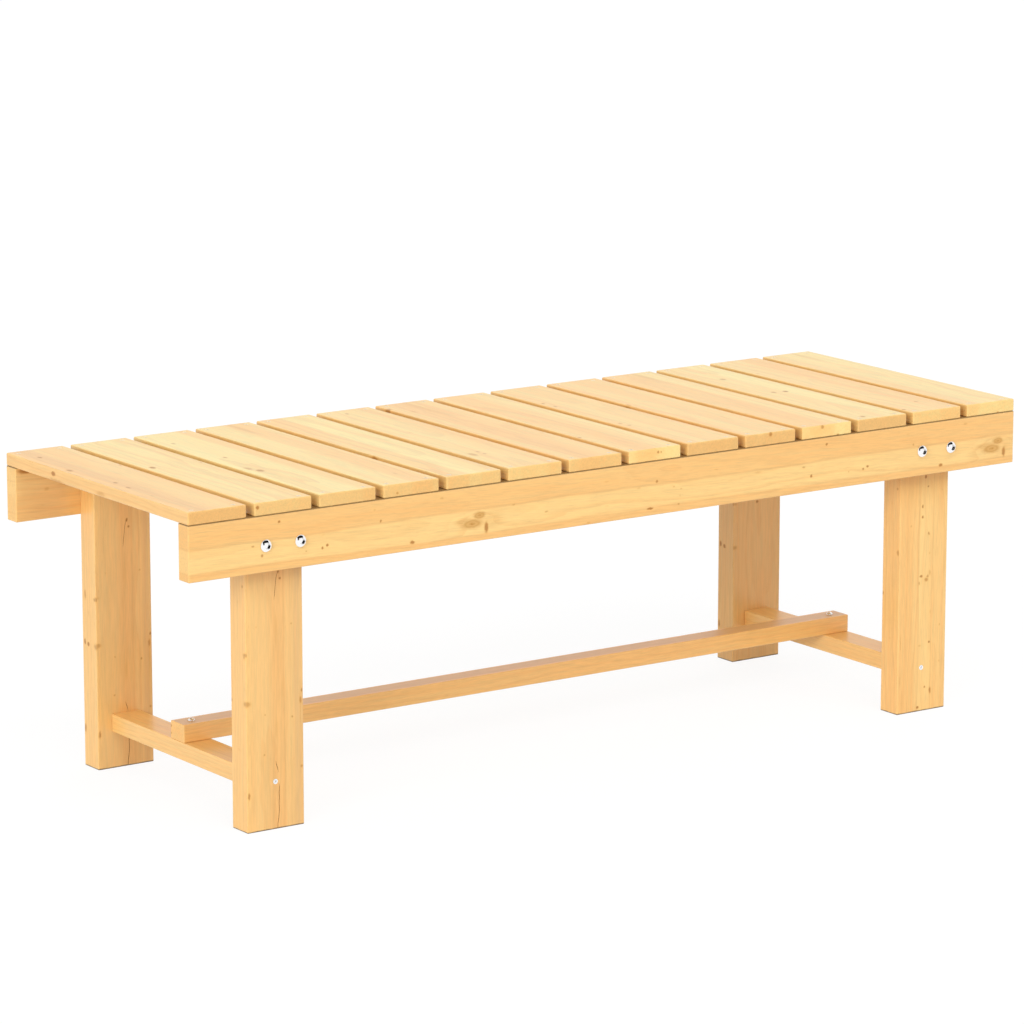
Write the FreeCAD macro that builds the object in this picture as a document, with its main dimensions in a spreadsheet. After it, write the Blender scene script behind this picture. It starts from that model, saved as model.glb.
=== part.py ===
import FreeCAD, Part
import math
import os
import Sketcher

# Backless garden bench of pale softwood boards, bolted and screwed together, in millimetres.
# The origin is on the floor under the middle of the bench. +X runs along the bench to its right end,
# -Y is its front and +Z is up.

SIZES = {
    # Whole bench
    "bench_length": 1100,
    "bench_depth": 380,
    # Seat slats, laid across the rails with at least this gap between them
    "slat_width": 70,
    "slat_gap": 9,
    "slat_thickness": 14,
    "slat_edge_radius": 1.5,
    # Rails on edge under the slats' ends
    "rail_height": 60,
    "rail_thickness": 20,
    "rail_edge_radius": 1,
    # Legs, flat against the rails' inner faces, with the inset from a rail's end to the middle of a leg
    "leg_height": 342,
    "leg_width": 70,
    "leg_thickness": 30,
    "leg_inset": 114,
    "leg_edge_radius": 1,
    # Cross stretchers between a front and a rear leg
    "stretcher_width": 35,
    "stretcher_height": 20,
    "stretcher_rise": 41.5,
    "stretcher_edge_radius": 1,
    # Centre stretcher, on top of the cross stretchers
    "beam_width": 28,
    "beam_height": 20,
    "beam_edge_radius": 1,
    # Button-head bolts from a rail into a leg
    "bolt_diameter": 8,
    "bolt_end_gap": 5,
    "bolt_tip_chamfer": 1,
    "bolt_head_diameter": 14,
    "bolt_head_height": 4.4,
    "bolt_head_rim": 0.8,
    "bolt_socket_size": 6,
    "bolt_socket_depth": 3,
    "bolt_spacing": 42,
    "bolt_rise": 28,
    "bolt_clearance": 0.2,
    # Threaded insert nuts in the legs' inner faces
    "insert_diameter": 12,
    "insert_length": 15,
    "insert_edge_chamfer": 0.5,
    # Countersunk screws from a slat into a rail
    "slat_screw_diameter": 3.5,
    "slat_screw_head_diameter": 6.5,
    "slat_screw_embedding": 21,
    "slat_screw_spacing": 50,
    # Countersunk screws from a leg into a cross stretcher's end
    "leg_screw_diameter": 3.5,
    "leg_screw_head_diameter": 6.5,
    "leg_screw_embedding": 25,
    # Pan-head screws from the centre stretcher into a cross stretcher
    "beam_screw_diameter": 4,
    "beam_screw_head_diameter": 8,
    "beam_screw_head_height": 3,
    "beam_screw_head_rim": 0.8,
    "beam_screw_embedding": 14,
    # Fits that all screws share
    "screw_tip_diameter": 0.6,
    "head_sink": 0.2,
    "fit_clearance": 0.05,
}

# Parts of a screw head taken by its cross recess, and of a screw's diameter taken by its tapered tip
RECESS_SPAN_SHARE = 0.6
RECESS_WIDTH_SHARE = 0.15
RECESS_DEPTH_SHARE = 0.25
TIP_LENGTH_SHARE = 1.2

doc = FreeCAD.newDocument("garden_bench")
sheet = doc.addObject("Spreadsheet::Sheet", "sizes")
for row, (alias, size) in enumerate(SIZES.items(), start=1):
    sheet.set(f"A{row}", alias)
    sheet.set(f"B{row}", str(size))
    sheet.setAlias(f"B{row}", alias)
doc.recompute()

# Places that several pieces share, as expressions on the sheet
SLAT_COUNT = "floor((sizes.bench_length + sizes.slat_gap) / (sizes.slat_width + sizes.slat_gap))"
SLAT_SPAN = "(sizes.bench_length - sizes.slat_width)"
RAIL_Y = "(sizes.bench_depth - sizes.rail_thickness) / 2"
RAIL_Z = "sizes.leg_height - sizes.rail_height"
LEG_X = "(sizes.bench_length / 2 - sizes.leg_inset)"
LEG_Y = "(sizes.bench_depth / 2 - sizes.rail_thickness - sizes.leg_thickness / 2)"
LEG_GAP = "(sizes.bench_depth - 2 * sizes.rail_thickness - 2 * sizes.leg_thickness)"
STRETCHER_TOP = "(sizes.stretcher_rise + sizes.stretcher_height)"
LEG_SCREW_Z = "(sizes.stretcher_rise + sizes.stretcher_height / 2)"
BEAM_LENGTH = f"(2 * {LEG_X} + sizes.stretcher_width)"

LEFT, RIGHT = "-", "+"
FRONT, REAR = "-", "+"
X_AXIS = FreeCAD.Vector(1, 0, 0)
Z_AXIS = FreeCAD.Vector(0, 0, 1)
UPRIGHT = FreeCAD.Rotation()
HALF_TURN = FreeCAD.Rotation(Z_AXIS, 180)
HEAD_TO_FRONT = FreeCAD.Rotation(X_AXIS, 90)
HEAD_TO_REAR = FreeCAD.Rotation(X_AXIS, -90)

pieces = []


def value(expression):
    return float(sheet.evalExpression(expression))


slat_numbers = range(1, int(value(SLAT_COUNT)) + 1)


def place(item, x, y, z, rotation=UPRIGHT):
    """Turns an item and binds its position to three expressions."""
    item.Placement = FreeCAD.Placement(FreeCAD.Vector(), rotation)
    for axis, expression in zip("xyz", (x, y, z)):
        item.setExpression(f"Placement.Base.{axis}", expression)


def sketch_on(body, role, name, offset="0"):
    """Sketch on one of the body's own planes, moved along the plane's normal by an expression."""
    plane = next(item for item in body.Origin.OriginFeatures if item.Role == role)
    sketch = body.newObject("Sketcher::SketchObject", name)
    sketch.AttachmentSupport = [(plane, "")]
    sketch.MapMode = "FlatFace"
    sketch.setExpression("AttachmentOffset.Base.z", offset)
    return sketch


def pin(sketch, geometry, point, x, y):
    """Holds a point of the sketch at a place given by two expressions."""
    for kind, axis, expression in (("DistanceX", -2, x), ("DistanceY", -1, y)):
        if expression == "0":
            sketch.addConstraint(Sketcher.Constraint("PointOnObject", geometry, point, axis))
        else:
            distance = Sketcher.Constraint(kind, -1, 1, geometry, point, value(expression))
            index = sketch.addConstraint(distance)
            sketch.setExpression(f"Constraints[{index}]", expression)


def open_outline(sketch, corners):
    """Straight lines from corner to corner, and the index of the first and the last line."""
    points = [FreeCAD.Vector(value(x), value(y), 0) for x, y in corners]
    lines = [sketch.addGeometry(Part.LineSegment(a, b)) for a, b in zip(points, points[1:])]
    for line, following in zip(lines, lines[1:]):
        sketch.addConstraint(Sketcher.Constraint("Coincident", line, 2, following, 1))
    for line, (x, y) in zip(lines, corners):
        pin(sketch, line, 1, x, y)
    return lines[0], lines[-1]


def polygon(sketch, corners):
    """Closed outline through the corners."""
    first, last = open_outline(sketch, corners + corners[:1])
    sketch.addConstraint(Sketcher.Constraint("Coincident", last, 2, first, 1))


def rectangle(sketch, width, depth):
    """Rectangle around the sketch's origin."""
    right, back = f"({width}) / 2", f"({depth}) / 2"
    polygon(sketch, [(f"-{right}", f"-{back}"), (right, f"-{back}"), (right, back), (f"-{right}", back)])


def circles(sketch, centres, diameter):
    """One circle of the same diameter at each centre."""
    for x, y in centres:
        middle = FreeCAD.Vector(value(x), value(y), 0)
        circle = sketch.addGeometry(Part.Circle(middle, Z_AXIS, value(diameter) / 2))
        pin(sketch, circle, 3, x, y)
        index = sketch.addConstraint(Sketcher.Constraint("Diameter", circle, value(diameter)))
        sketch.setExpression(f"Constraints[{index}]", diameter)


def check_cut(body, volume):
    """Stops the build if the last cut took nothing away."""
    doc.recompute()
    if not body.Shape.Volume < volume:
        raise RuntimeError(f"a cut in {body.Label} removes nothing")


def pocket(body, sketch, depth=None, reverse=False):
    """Cuts the sketch into the body: to a depth, or right through on both sides."""
    doc.recompute()
    volume = body.Shape.Volume
    cut = body.newObject("PartDesign::Pocket", f"{sketch.Name}_cut")
    cut.Profile = sketch
    cut.Reversed = reverse
    if depth is None:
        cut.SideType = "Symmetric"
        cut.Type = "ThroughAll"
    else:
        cut.setExpression("Length", depth)
    check_cut(body, volume)
    return cut


def countersunk_hole(body, sketch, screw):
    """Through holes for countersunk screws, with the heads' seats in the sketch's plane."""
    doc.recompute()
    volume = body.Shape.Volume
    hole = body.newObject("PartDesign::Hole", f"{sketch.Name}_hole")
    hole.Profile = sketch
    doc.recompute()
    hole.DepthType = "ThroughAll"
    hole.DrillPoint = "Flat"
    hole.HoleCutType = "Countersink"
    hole.HoleCutCustomValues = True
    hole.setExpression("Diameter", f"sizes.{screw}_diameter + 2 * sizes.fit_clearance")
    hole.setExpression("HoleCutDiameter",
                       f"sizes.{screw}_head_diameter + 2 * sizes.head_sink + 4 * sizes.fit_clearance")
    check_cut(body, volume)


def pilot_diameter(screw):
    return f"sizes.{screw}_diameter + 2 * sizes.fit_clearance"


def pilot_depth(screw):
    return f"sizes.{screw}_embedding + sizes.fit_clearance"


def board(label, width, depth, height, radius):
    """Board with all its edges rounded, standing on its own origin."""
    body = doc.addObject("PartDesign::Body", label)
    body.Label = label
    outline = sketch_on(body, "XY_Plane", f"{label}_outline")
    rectangle(outline, width, depth)
    pad = body.newObject("PartDesign::Pad", f"{label}_pad")
    pad.Profile = outline
    pad.setExpression("Length", height)
    doc.recompute()
    rounding = body.newObject("PartDesign::Fillet", f"{label}_rounding")
    rounding.Base = (pad, [""])
    rounding.UseAllEdges = True
    rounding.setExpression("Radius", radius)
    doc.recompute()
    return body


def bolt_holes(body, centres):
    """Clearance holes for the bolts, right through a rail or a leg."""
    sketch = sketch_on(body, "XZ_Plane", f"{body.Name}_bolt_circles")
    circles(sketch, centres, "sizes.bolt_diameter + 2 * sizes.bolt_clearance")
    pocket(body, sketch)


def make_slat(number):
    label = f"slat_{number:02d}"
    slat = board(label, "sizes.slat_width", "sizes.bench_depth", "sizes.slat_thickness",
                 "sizes.slat_edge_radius")
    heads = sketch_on(slat, "XY_Plane", f"{label}_screw_circles", "sizes.slat_thickness")
    across = "sizes.slat_screw_spacing / 2"
    centres = [(f"{side}{across}", f"{end}{RAIL_Y}") for side in (LEFT, RIGHT) for end in (FRONT, REAR)]
    circles(heads, centres, "sizes.slat_screw_diameter")
    countersunk_hole(slat, heads, "slat_screw")
    place(slat, slat_x(number), "0", "sizes.leg_height")
    pieces.append(slat)


def slat_x(number):
    """Middle of a slat: the first and last are flush with the rails' ends, and the others spread evenly."""
    return f"{SLAT_SPAN} * ({number - 1} / ({SLAT_COUNT} - 1) - 1 / 2)"


def make_rail(label, side):
    rail = board(label, "sizes.bench_length", "sizes.rail_thickness", "sizes.rail_height",
                 "sizes.rail_edge_radius")
    pilots = sketch_on(rail, "XY_Plane", f"{label}_pilots", "sizes.rail_height")
    first_slat = f"-{SLAT_SPAN} / 2"
    across = "sizes.slat_screw_spacing / 2"
    circles(pilots, [(f"{first_slat} {end} {across}", "0") for end in (LEFT, RIGHT)],
            pilot_diameter("slat_screw"))
    drilled = pocket(rail, pilots, pilot_depth("slat_screw"))
    repeat = rail.newObject("PartDesign::LinearPattern", f"{label}_pilot_row")
    repeat.Originals = [drilled]
    repeat.Direction = (pilots, ["H_Axis"])
    repeat.setExpression("Length", SLAT_SPAN)
    repeat.setExpression("Occurrences", SLAT_COUNT)
    rail.Tip = repeat
    doc.recompute()
    half_spacing = "sizes.bolt_spacing / 2"
    bolt_holes(rail, [(f"{end}{LEG_X} {way} {half_spacing}", "sizes.bolt_rise")
                      for end in (LEFT, RIGHT) for way in (LEFT, RIGHT)])
    place(rail, "0", f"{side}{RAIL_Y}", RAIL_Z)
    pieces.append(rail)


def make_leg(label, end, side):
    """Leg drawn as a front one, with its inner face to the rear. A rear leg is the same piece turned round."""
    leg = board(label, "sizes.leg_width", "sizes.leg_thickness", "sizes.leg_height",
                "sizes.leg_edge_radius")
    centres = [(f"{way}sizes.bolt_spacing / 2", f"{RAIL_Z} + sizes.bolt_rise") for way in (LEFT, RIGHT)]
    bolt_holes(leg, centres)
    seats = sketch_on(leg, "XZ_Plane", f"{label}_insert_circles", "-sizes.leg_thickness / 2")
    circles(seats, centres, "sizes.insert_diameter + 2 * sizes.fit_clearance")
    pocket(leg, seats, "sizes.insert_length", reverse=True)
    head = sketch_on(leg, "XZ_Plane", f"{label}_screw_circle", "sizes.leg_thickness / 2")
    circles(head, [("0", LEG_SCREW_Z)], "sizes.leg_screw_diameter")
    countersunk_hole(leg, head, "leg_screw")
    rotation = UPRIGHT if side == FRONT else HALF_TURN
    place(leg, f"{end}{LEG_X}", f"{side}{LEG_Y}", "0", rotation)
    pieces.append(leg)


def make_cross_stretcher(label, end):
    stretcher = board(label, "sizes.stretcher_width", LEG_GAP, "sizes.stretcher_height",
                      "sizes.stretcher_edge_radius")
    for side, reverse in ((FRONT, False), (REAR, True)):
        outward = "" if side == FRONT else "-"
        pilot = sketch_on(stretcher, "XZ_Plane", f"{label}_pilot", f"{outward}{LEG_GAP} / 2")
        circles(pilot, [("0", "sizes.stretcher_height / 2")], pilot_diameter("leg_screw"))
        pocket(stretcher, pilot, pilot_depth("leg_screw"), reverse)
    top = sketch_on(stretcher, "XY_Plane", f"{label}_top_pilot", "sizes.stretcher_height")
    circles(top, [("0", "0")], pilot_diameter("beam_screw"))
    pocket(stretcher, top, pilot_depth("beam_screw"))
    place(stretcher, f"{end}{LEG_X}", "0", "sizes.stretcher_rise")
    pieces.append(stretcher)


def make_centre_stretcher():
    label = "centre_stretcher"
    beam = board(label, BEAM_LENGTH, "sizes.beam_width", "sizes.beam_height", "sizes.beam_edge_radius")
    holes = sketch_on(beam, "XY_Plane", f"{label}_screw_circles", "sizes.beam_height")
    circles(holes, [(f"{end}{LEG_X}", "0") for end in (LEFT, RIGHT)], pilot_diameter("beam_screw"))
    pocket(beam, holes)
    place(beam, "0", "0", STRETCHER_TOP)
    pieces.append(beam)


def revolve(body, sketch):
    """Turns the sketch's half outline about its upright axis."""
    turned = body.newObject("PartDesign::Revolution", f"{sketch.Name}_turned")
    turned.Profile = sketch
    turned.ReferenceAxis = (sketch, ["V_Axis"])
    doc.recompute()


def shank(radius, length, tip_length, tip_radius):
    """Corners of a fastener's half outline from under its head down to its tip."""
    return [(radius, f"-({length} - {tip_length})"), (tip_radius, f"-({length})"), ("0", f"-({length})")]


def cross_recess(body, head_diameter, top):
    """Two crossed slots in the top of a screw head."""
    span = f"{head_diameter} * {RECESS_SPAN_SHARE}"
    width = f"{head_diameter} * {RECESS_WIDTH_SHARE}"
    for slot_width, slot_depth in ((span, width), (width, span)):
        slot = sketch_on(body, "XY_Plane", f"{body.Name}_slot", top)
        rectangle(slot, slot_width, slot_depth)
        pocket(body, slot, f"{head_diameter} * {RECESS_DEPTH_SHARE}")


def countersunk_screw(name, through):
    """Wood screw with a flat countersunk head, pointing down from the top of its head."""
    body = doc.addObject("PartDesign::Body", f"{name}_pattern")
    head, radius = f"sizes.{name}_head_diameter / 2", f"sizes.{name}_diameter / 2"
    length = f"({through} - sizes.head_sink + sizes.{name}_embedding)"
    tip_length = f"sizes.{name}_diameter * {TIP_LENGTH_SHARE}"
    sketch = sketch_on(body, "XZ_Plane", f"{name}_profile")
    polygon(sketch, [("0", "0"), (head, "0"), (radius, f"{radius} - {head}")]
            + shank(radius, length, tip_length, "sizes.screw_tip_diameter / 2"))
    revolve(body, sketch)
    cross_recess(body, f"sizes.{name}_head_diameter", "0")
    return body


def domed_fastener(name, length, tip_length, tip_radius):
    """Bolt or screw with a domed head, pointing down from the underside of its head."""
    body = doc.addObject("PartDesign::Body", f"{name}_pattern")
    head, radius = f"sizes.{name}_head_diameter / 2", f"sizes.{name}_diameter / 2"
    rim, top = f"sizes.{name}_head_rim", f"sizes.{name}_head_height"
    sketch = sketch_on(body, "XZ_Plane", f"{name}_profile")
    corners = [(head, rim), (head, "0"), (radius, "0")] + shank(radius, length, tip_length, tip_radius)
    first, last = open_outline(sketch, corners + [("0", top)])
    pin(sketch, last, 2, "0", top)
    rise = value(top) - value(rim)
    dome_radius = (value(head) ** 2 + rise ** 2) / (2 * rise)
    middle = FreeCAD.Vector(0, value(top) - dome_radius, 0)
    rim_angle = math.acos(value(head) / dome_radius)
    dome = Part.ArcOfCircle(Part.Circle(middle, Z_AXIS, dome_radius), rim_angle, math.pi / 2)
    arc = sketch.addGeometry(dome)
    sketch.addConstraint(Sketcher.Constraint("Coincident", arc, 1, first, 1))
    sketch.addConstraint(Sketcher.Constraint("Coincident", arc, 2, last, 2))
    sketch.addConstraint(Sketcher.Constraint("PointOnObject", arc, 3, -2))
    revolve(body, sketch)
    return body


def rail_bolt():
    """Button-head bolt with a hex socket, from a rail's outer face to just short of the leg's inner face."""
    length = "(sizes.rail_thickness + sizes.leg_thickness - sizes.bolt_end_gap)"
    bolt = domed_fastener("bolt", length, "sizes.bolt_tip_chamfer",
                          "sizes.bolt_diameter / 2 - sizes.bolt_tip_chamfer")
    socket = sketch_on(bolt, "XY_Plane", "bolt_socket", "sizes.bolt_head_height")
    half_size = "sizes.bolt_socket_size / 2"
    corner = "sizes.bolt_socket_size / sqrt(3)"
    polygon(socket, [(corner, "0"), (f"{corner} / 2", half_size), (f"-{corner} / 2", half_size),
                     (f"-{corner}", "0"), (f"-{corner} / 2", f"-{half_size}"),
                     (f"{corner} / 2", f"-{half_size}")])
    pocket(bolt, socket, "sizes.bolt_socket_depth")
    return bolt


def beam_screw():
    """Pan-head wood screw with a cross recess."""
    length = "(sizes.beam_height + sizes.beam_screw_embedding)"
    screw = domed_fastener("beam_screw", length, f"sizes.beam_screw_diameter * {TIP_LENGTH_SHARE}",
                           "sizes.screw_tip_diameter / 2")
    cross_recess(screw, "sizes.beam_screw_head_diameter", "sizes.beam_screw_head_height")
    return screw


def insert_nut():
    """Threaded sleeve with its mouth at its own origin, reaching down into the leg."""
    body = doc.addObject("PartDesign::Body", "insert_pattern")
    bore = "sizes.bolt_diameter / 2 + sizes.fit_clearance"
    outside, chamfer = "sizes.insert_diameter / 2", "sizes.insert_edge_chamfer"
    bottom = "-sizes.insert_length"
    sketch = sketch_on(body, "XZ_Plane", "insert_profile")
    polygon(sketch, [(f"{bore} + {chamfer}", "0"), (f"{outside} - {chamfer}", "0"), (outside, f"-{chamfer}"),
                     (outside, f"{bottom} + {chamfer}"), (f"{outside} - {chamfer}", bottom), (bore, bottom),
                     (bore, f"-{chamfer}")])
    revolve(body, sketch)
    return body


def group(label, pattern, places, rotation=UPRIGHT):
    """One node that holds a copy of the same fastener at each place."""
    copies = []
    for number, (x, y, z) in enumerate(places, start=1):
        copy = doc.addObject("App::Link", f"{label}_{number:02d}")
        copy.LinkedObject = pattern
        place(copy, x, y, z, rotation)
        copies.append(copy)
    bundle = doc.addObject("Part::Compound", label)
    bundle.Label = label
    bundle.Links = copies
    pieces.append(bundle)


def make_fasteners():
    bolt = rail_bolt()
    insert = insert_nut()
    slat_screw = countersunk_screw("slat_screw", "sizes.slat_thickness")
    leg_screw = countersunk_screw("leg_screw", "sizes.leg_thickness")
    centre_screw = beam_screw()
    bolt_z = f"{RAIL_Z} + sizes.bolt_rise"
    bolt_xs = [f"{end}{LEG_X} {way} sizes.bolt_spacing / 2" for end in (LEFT, RIGHT) for way in (LEFT, RIGHT)]
    slat_screw_xs = [f"{slat_x(number)} {way} sizes.slat_screw_spacing / 2"
                     for number in slat_numbers for way in (LEFT, RIGHT)]
    slat_screw_z = "sizes.leg_height + sizes.slat_thickness - sizes.head_sink"
    leg_inner_y = f"({LEG_GAP} / 2)"
    leg_outer_y = "(sizes.bench_depth / 2 - sizes.rail_thickness - sizes.head_sink)"
    for name, side, outward, inward in (("front", FRONT, HEAD_TO_FRONT, HEAD_TO_REAR),
                                        ("rear", REAR, HEAD_TO_REAR, HEAD_TO_FRONT)):
        group(f"{name}_rail_bolts", bolt, [(x, f"{side}sizes.bench_depth / 2", bolt_z) for x in bolt_xs],
              outward)
        group(f"{name}_insert_nuts", insert, [(x, f"{side}{leg_inner_y}", bolt_z) for x in bolt_xs], inward)
        group(f"{name}_slat_screws", slat_screw, [(x, f"{side}{RAIL_Y}", slat_screw_z) for x in slat_screw_xs])
        group(f"{name}_leg_screws", leg_screw,
              [(f"{end}{LEG_X}", f"{side}{leg_outer_y}", LEG_SCREW_Z) for end in (LEFT, RIGHT)], outward)
    group("centre_stretcher_screws", centre_screw,
          [(f"{end}{LEG_X}", "0", f"{STRETCHER_TOP} + sizes.beam_height") for end in (LEFT, RIGHT)])


def check_document():
    """Stops the build at a failed object or a piece that is empty or broken."""
    doc.recompute()
    failed = [item.Name for item in doc.Objects if {"Invalid", "Error"} & set(item.State)]
    if failed:
        raise RuntimeError(f"failed objects: {failed}")
    for piece in pieces:
        if piece.Shape.isNull() or not piece.Shape.isValid():
            raise RuntimeError(f"bad shape: {piece.Label}")


def main():
    for number in slat_numbers:
        make_slat(number)
    make_rail("front_rail", FRONT)
    make_rail("rear_rail", REAR)
    for side_name, side in (("front", FRONT), ("rear", REAR)):
        for end_name, end in (("left", LEFT), ("right", RIGHT)):
            make_leg(f"{side_name}_{end_name}_leg", end, side)
    make_cross_stretcher("left_cross_stretcher", LEFT)
    make_cross_stretcher("right_cross_stretcher", RIGHT)
    make_centre_stretcher()
    make_fasteners()
    check_document()
    os.makedirs("parts", exist_ok=True)
    for piece in pieces:
        piece.Shape.exportStep(f"parts/{piece.Label}.step")


main()
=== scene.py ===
import math
import random
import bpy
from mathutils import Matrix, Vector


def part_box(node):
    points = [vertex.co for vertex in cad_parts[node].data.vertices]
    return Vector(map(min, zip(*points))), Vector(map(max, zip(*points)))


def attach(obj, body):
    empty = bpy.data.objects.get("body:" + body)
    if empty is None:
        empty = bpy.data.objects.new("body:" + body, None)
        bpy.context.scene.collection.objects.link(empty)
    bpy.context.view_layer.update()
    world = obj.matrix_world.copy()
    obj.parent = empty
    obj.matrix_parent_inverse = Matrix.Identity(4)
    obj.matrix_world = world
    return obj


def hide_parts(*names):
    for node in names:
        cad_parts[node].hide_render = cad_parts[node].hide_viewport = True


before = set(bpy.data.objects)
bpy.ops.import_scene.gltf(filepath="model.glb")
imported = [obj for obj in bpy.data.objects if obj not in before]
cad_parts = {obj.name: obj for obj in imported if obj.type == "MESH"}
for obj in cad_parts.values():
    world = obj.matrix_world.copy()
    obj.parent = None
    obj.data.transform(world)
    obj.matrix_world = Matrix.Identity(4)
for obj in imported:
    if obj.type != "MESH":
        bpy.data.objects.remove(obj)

from types import SimpleNamespace as Sizes

import bmesh
import bpy
from mathutils import Matrix, Vector, noise

# Dressed garden bench: pine boards with knots, checks and eased edges, and bright steel fasteners.
# Lengths in this script are millimetres, and the meshes are turned into metres when they are made.
# The frame is the bench's own: +X to its right end, -Y its front, +Z up, the floor at zero.

MM = 0.001
QUARTER_TURN = math.pi / 2
FULL_TURN = 2 * math.pi
X, Y, Z = 0, 1, 2
UP = (0, 0, 1)
WHITE = (1, 1, 1, 1)
# Sides and ends of the bench, with the direction that each faces along Y and along X
SIDES = {"front": -1, "rear": 1}
ENDS = {"left": -1, "right": 1}
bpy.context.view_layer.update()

# Camera: where it looks, from which side, how far off and how long its lens is
VIEW_TARGET = (10.6, 40.1, 248.7)
VIEW_AZIMUTH = -34.78
VIEW_ELEVATION = 11.99
VIEW_DISTANCE = 5384
LENS = 168.43
SENSOR = 36

# Board meshes: their divisions, their edges and how unevenly they are worn
FACE_STEP = 6
GRAIN_STEP = 9
CORNER_STEPS = 4
BOARD_RADII = {"slat": 1.5, "rail": 1, "leg": 1, "stretcher": 1}
FACE_WEAR = 0.10
WEAR_LENGTHS = (90, 30, 30)
EDGE_WEAR = 0.25
EDGE_REACH_SHARE = 1.5
DENT_LENGTH = 14
DENT_START_SHARE = 0.25
CHECK_DEPTH = 1.4
CHECK_END_SHARE = 0.3
BOARD_SHARP_ANGLE = 32

# Cuts: how far cutters stand out and reach, and what is merged afterwards
OVERRUN = 2
THROUGH_SHARE = 3
SEAT_SEGMENTS = 32
HOLE_SEGMENTS = 40
MERGE_DISTANCE = 0.001
LATHE_MERGE_DISTANCE = 0.0005
FLAT_AREA = 1e-14

# Bolts, with their place on the rails, and the insert nuts that they thread into
BOLT = Sizes(head=14, height=4.4, rim=0.8, edge=0.25, neck=0.3, shank=8, length=45, threaded=26, ridge=0.6,
             pitch=1.25, run_out=0.4, point=1, fade=0.5, socket=6, socket_depth=3, flare=0.35, mouth_rise=1,
             mouth_depth=0.8, clearance=0.2, segments=48, dome_steps=14)
BOLT_SPACING = 42
BOLT_HEIGHT = 310
LARGEST_BOLT_TURN = 0.1
SOCKET_SIDES = 6
INSERT = Sizes(outside=12, length=15, pitch=3, ridge=1.1, thread_start=1.6, thread_end=1, edge=0.5,
               collar=1.2, taper=1.6, slot=1.6, overrun=1, ridge_end=1.5, ridge_start=2, clearance=0.05)

# Countersunk screws for the slats and legs, pan-head screws for the centre stretcher, and what they share
WOOD_SCREW = Sizes(shank=3.5, head=6.0, edge=0.15, rim=0.35, neck=0.3, pitch=1.6, ridge=0.55, recess=2.6,
                   ridge_start=2, segments=24)
SLAT_SCREW_LENGTH = 34.8
SLAT_SCREW_SPACING = 50
LEG_SCREW_LENGTH = 54.8
BEAM_SCREW = Sizes(shank=4, head=8, height=3, rim=0.8, edge=0.2, neck=0.3, neck_depth=0.4, pitch=1.8,
                   ridge=0.6, thread_start=1, ridge_start=4, recess=4.8, length=34, segments=32,
                   dome_steps=10)
BEAM_SCREW_BITE = 14
SCREW_END = Sizes(taper=4, point=1.4, tip=0.3, fade=3)
HEAD_SINK = 0.2
HEAD_CLEARANCE = 0.3
SHANK_CLEARANCE = 0.05
RECESS_ARMS = 4
# A cross recess in shares of its span: half an arm's width, its depth, and its size at floor and mouth
RECESS = Sizes(width=0.125, depth=0.46, floor=0.55, mouth=1.45)
THREAD_ROWS = 6
NO_THREAD = (0, 0, 1, 0)
STEEL_SHARP_ANGLE = 40


def linear(red, green, blue):
    """Scene colour of three 8-bit display values."""
    def channel(value):
        share = value / 255
        return share / 12.92 if share <= 0.04045 else ((share + 0.055) / 1.055) ** 2.4
    return (channel(red), channel(green), channel(blue), 1)


PALE = linear(250, 207, 133)
WARM = linear(244, 189, 114)
# The slats' tones, paler than the rails' and legs' pine: painted top light and sheen on the seat
LIT_SLAT_PALE = linear(252, 227, 150)
LIT_SLAT_WARM = linear(252, 200, 122)
# Smoky tone, also laid on as painted shade on the centre stretcher, the rear right leg and slat 1's left
# face
SMOKY_AND_SHADED = linear(208, 166, 116)
LATE = linear(228, 164, 90)
# Dark line colour, also laid on as painted shade in the slats' gaps and in drying checks
FINE_LINE_AND_SHADE = linear(196, 136, 70)
# Knot halo colour, also laid on as a broad painted shade under the front rail on the front right leg
HALO_AND_SHADE = linear(220, 158, 64)
CORE = linear(172, 110, 40)
STAIN = linear(188, 127, 30)
END_GRAIN = linear(230, 176, 104)
# Painted shade inside the drying checks
CHECK_SHADE = linear(120, 74, 36)
# Colour of the painted contact shade along the rails' tops and at the legs' feet
CONTACT_SHADE = linear(88, 64, 38)

# Noise in the wood: waves per millimetre along, across and through the grain, detail and roughness
FIBRE = ((0.05, 1.3, 1.3), 3.0, 0.6)
DASH = ((0.03, 0.45, 0.45), 2.0, 0.55)
STREAK = ((0.005, 0.16, 0.16), 3.0, 0.6)
BROAD = ((0.0022, 0.04, 0.04), 1.0)
FLECK = ((0.09, 0.9, 0.9), 1.0)
# Sideways sway of what runs along the grain: waves per millimetre, and its size
RING_SWAYS = (((0.004, 0.02, 0.02), 22), ((0.02, 0.1, 0.1), 3.2))
FIBRE_SWAYS = (((0.008, 0.03, 0.03), 7), ((0.05, 0.2, 0.2), 1.2))
BAND_SWAY = ((0.006, 0.03, 0.03), 7)
KNOT_SWAY = ((0.25, 0.35, 0.35), 1.8)
FOOT_SHADE_SWAY = ((0.1, 0.1, 0.1), 1.2)
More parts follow.
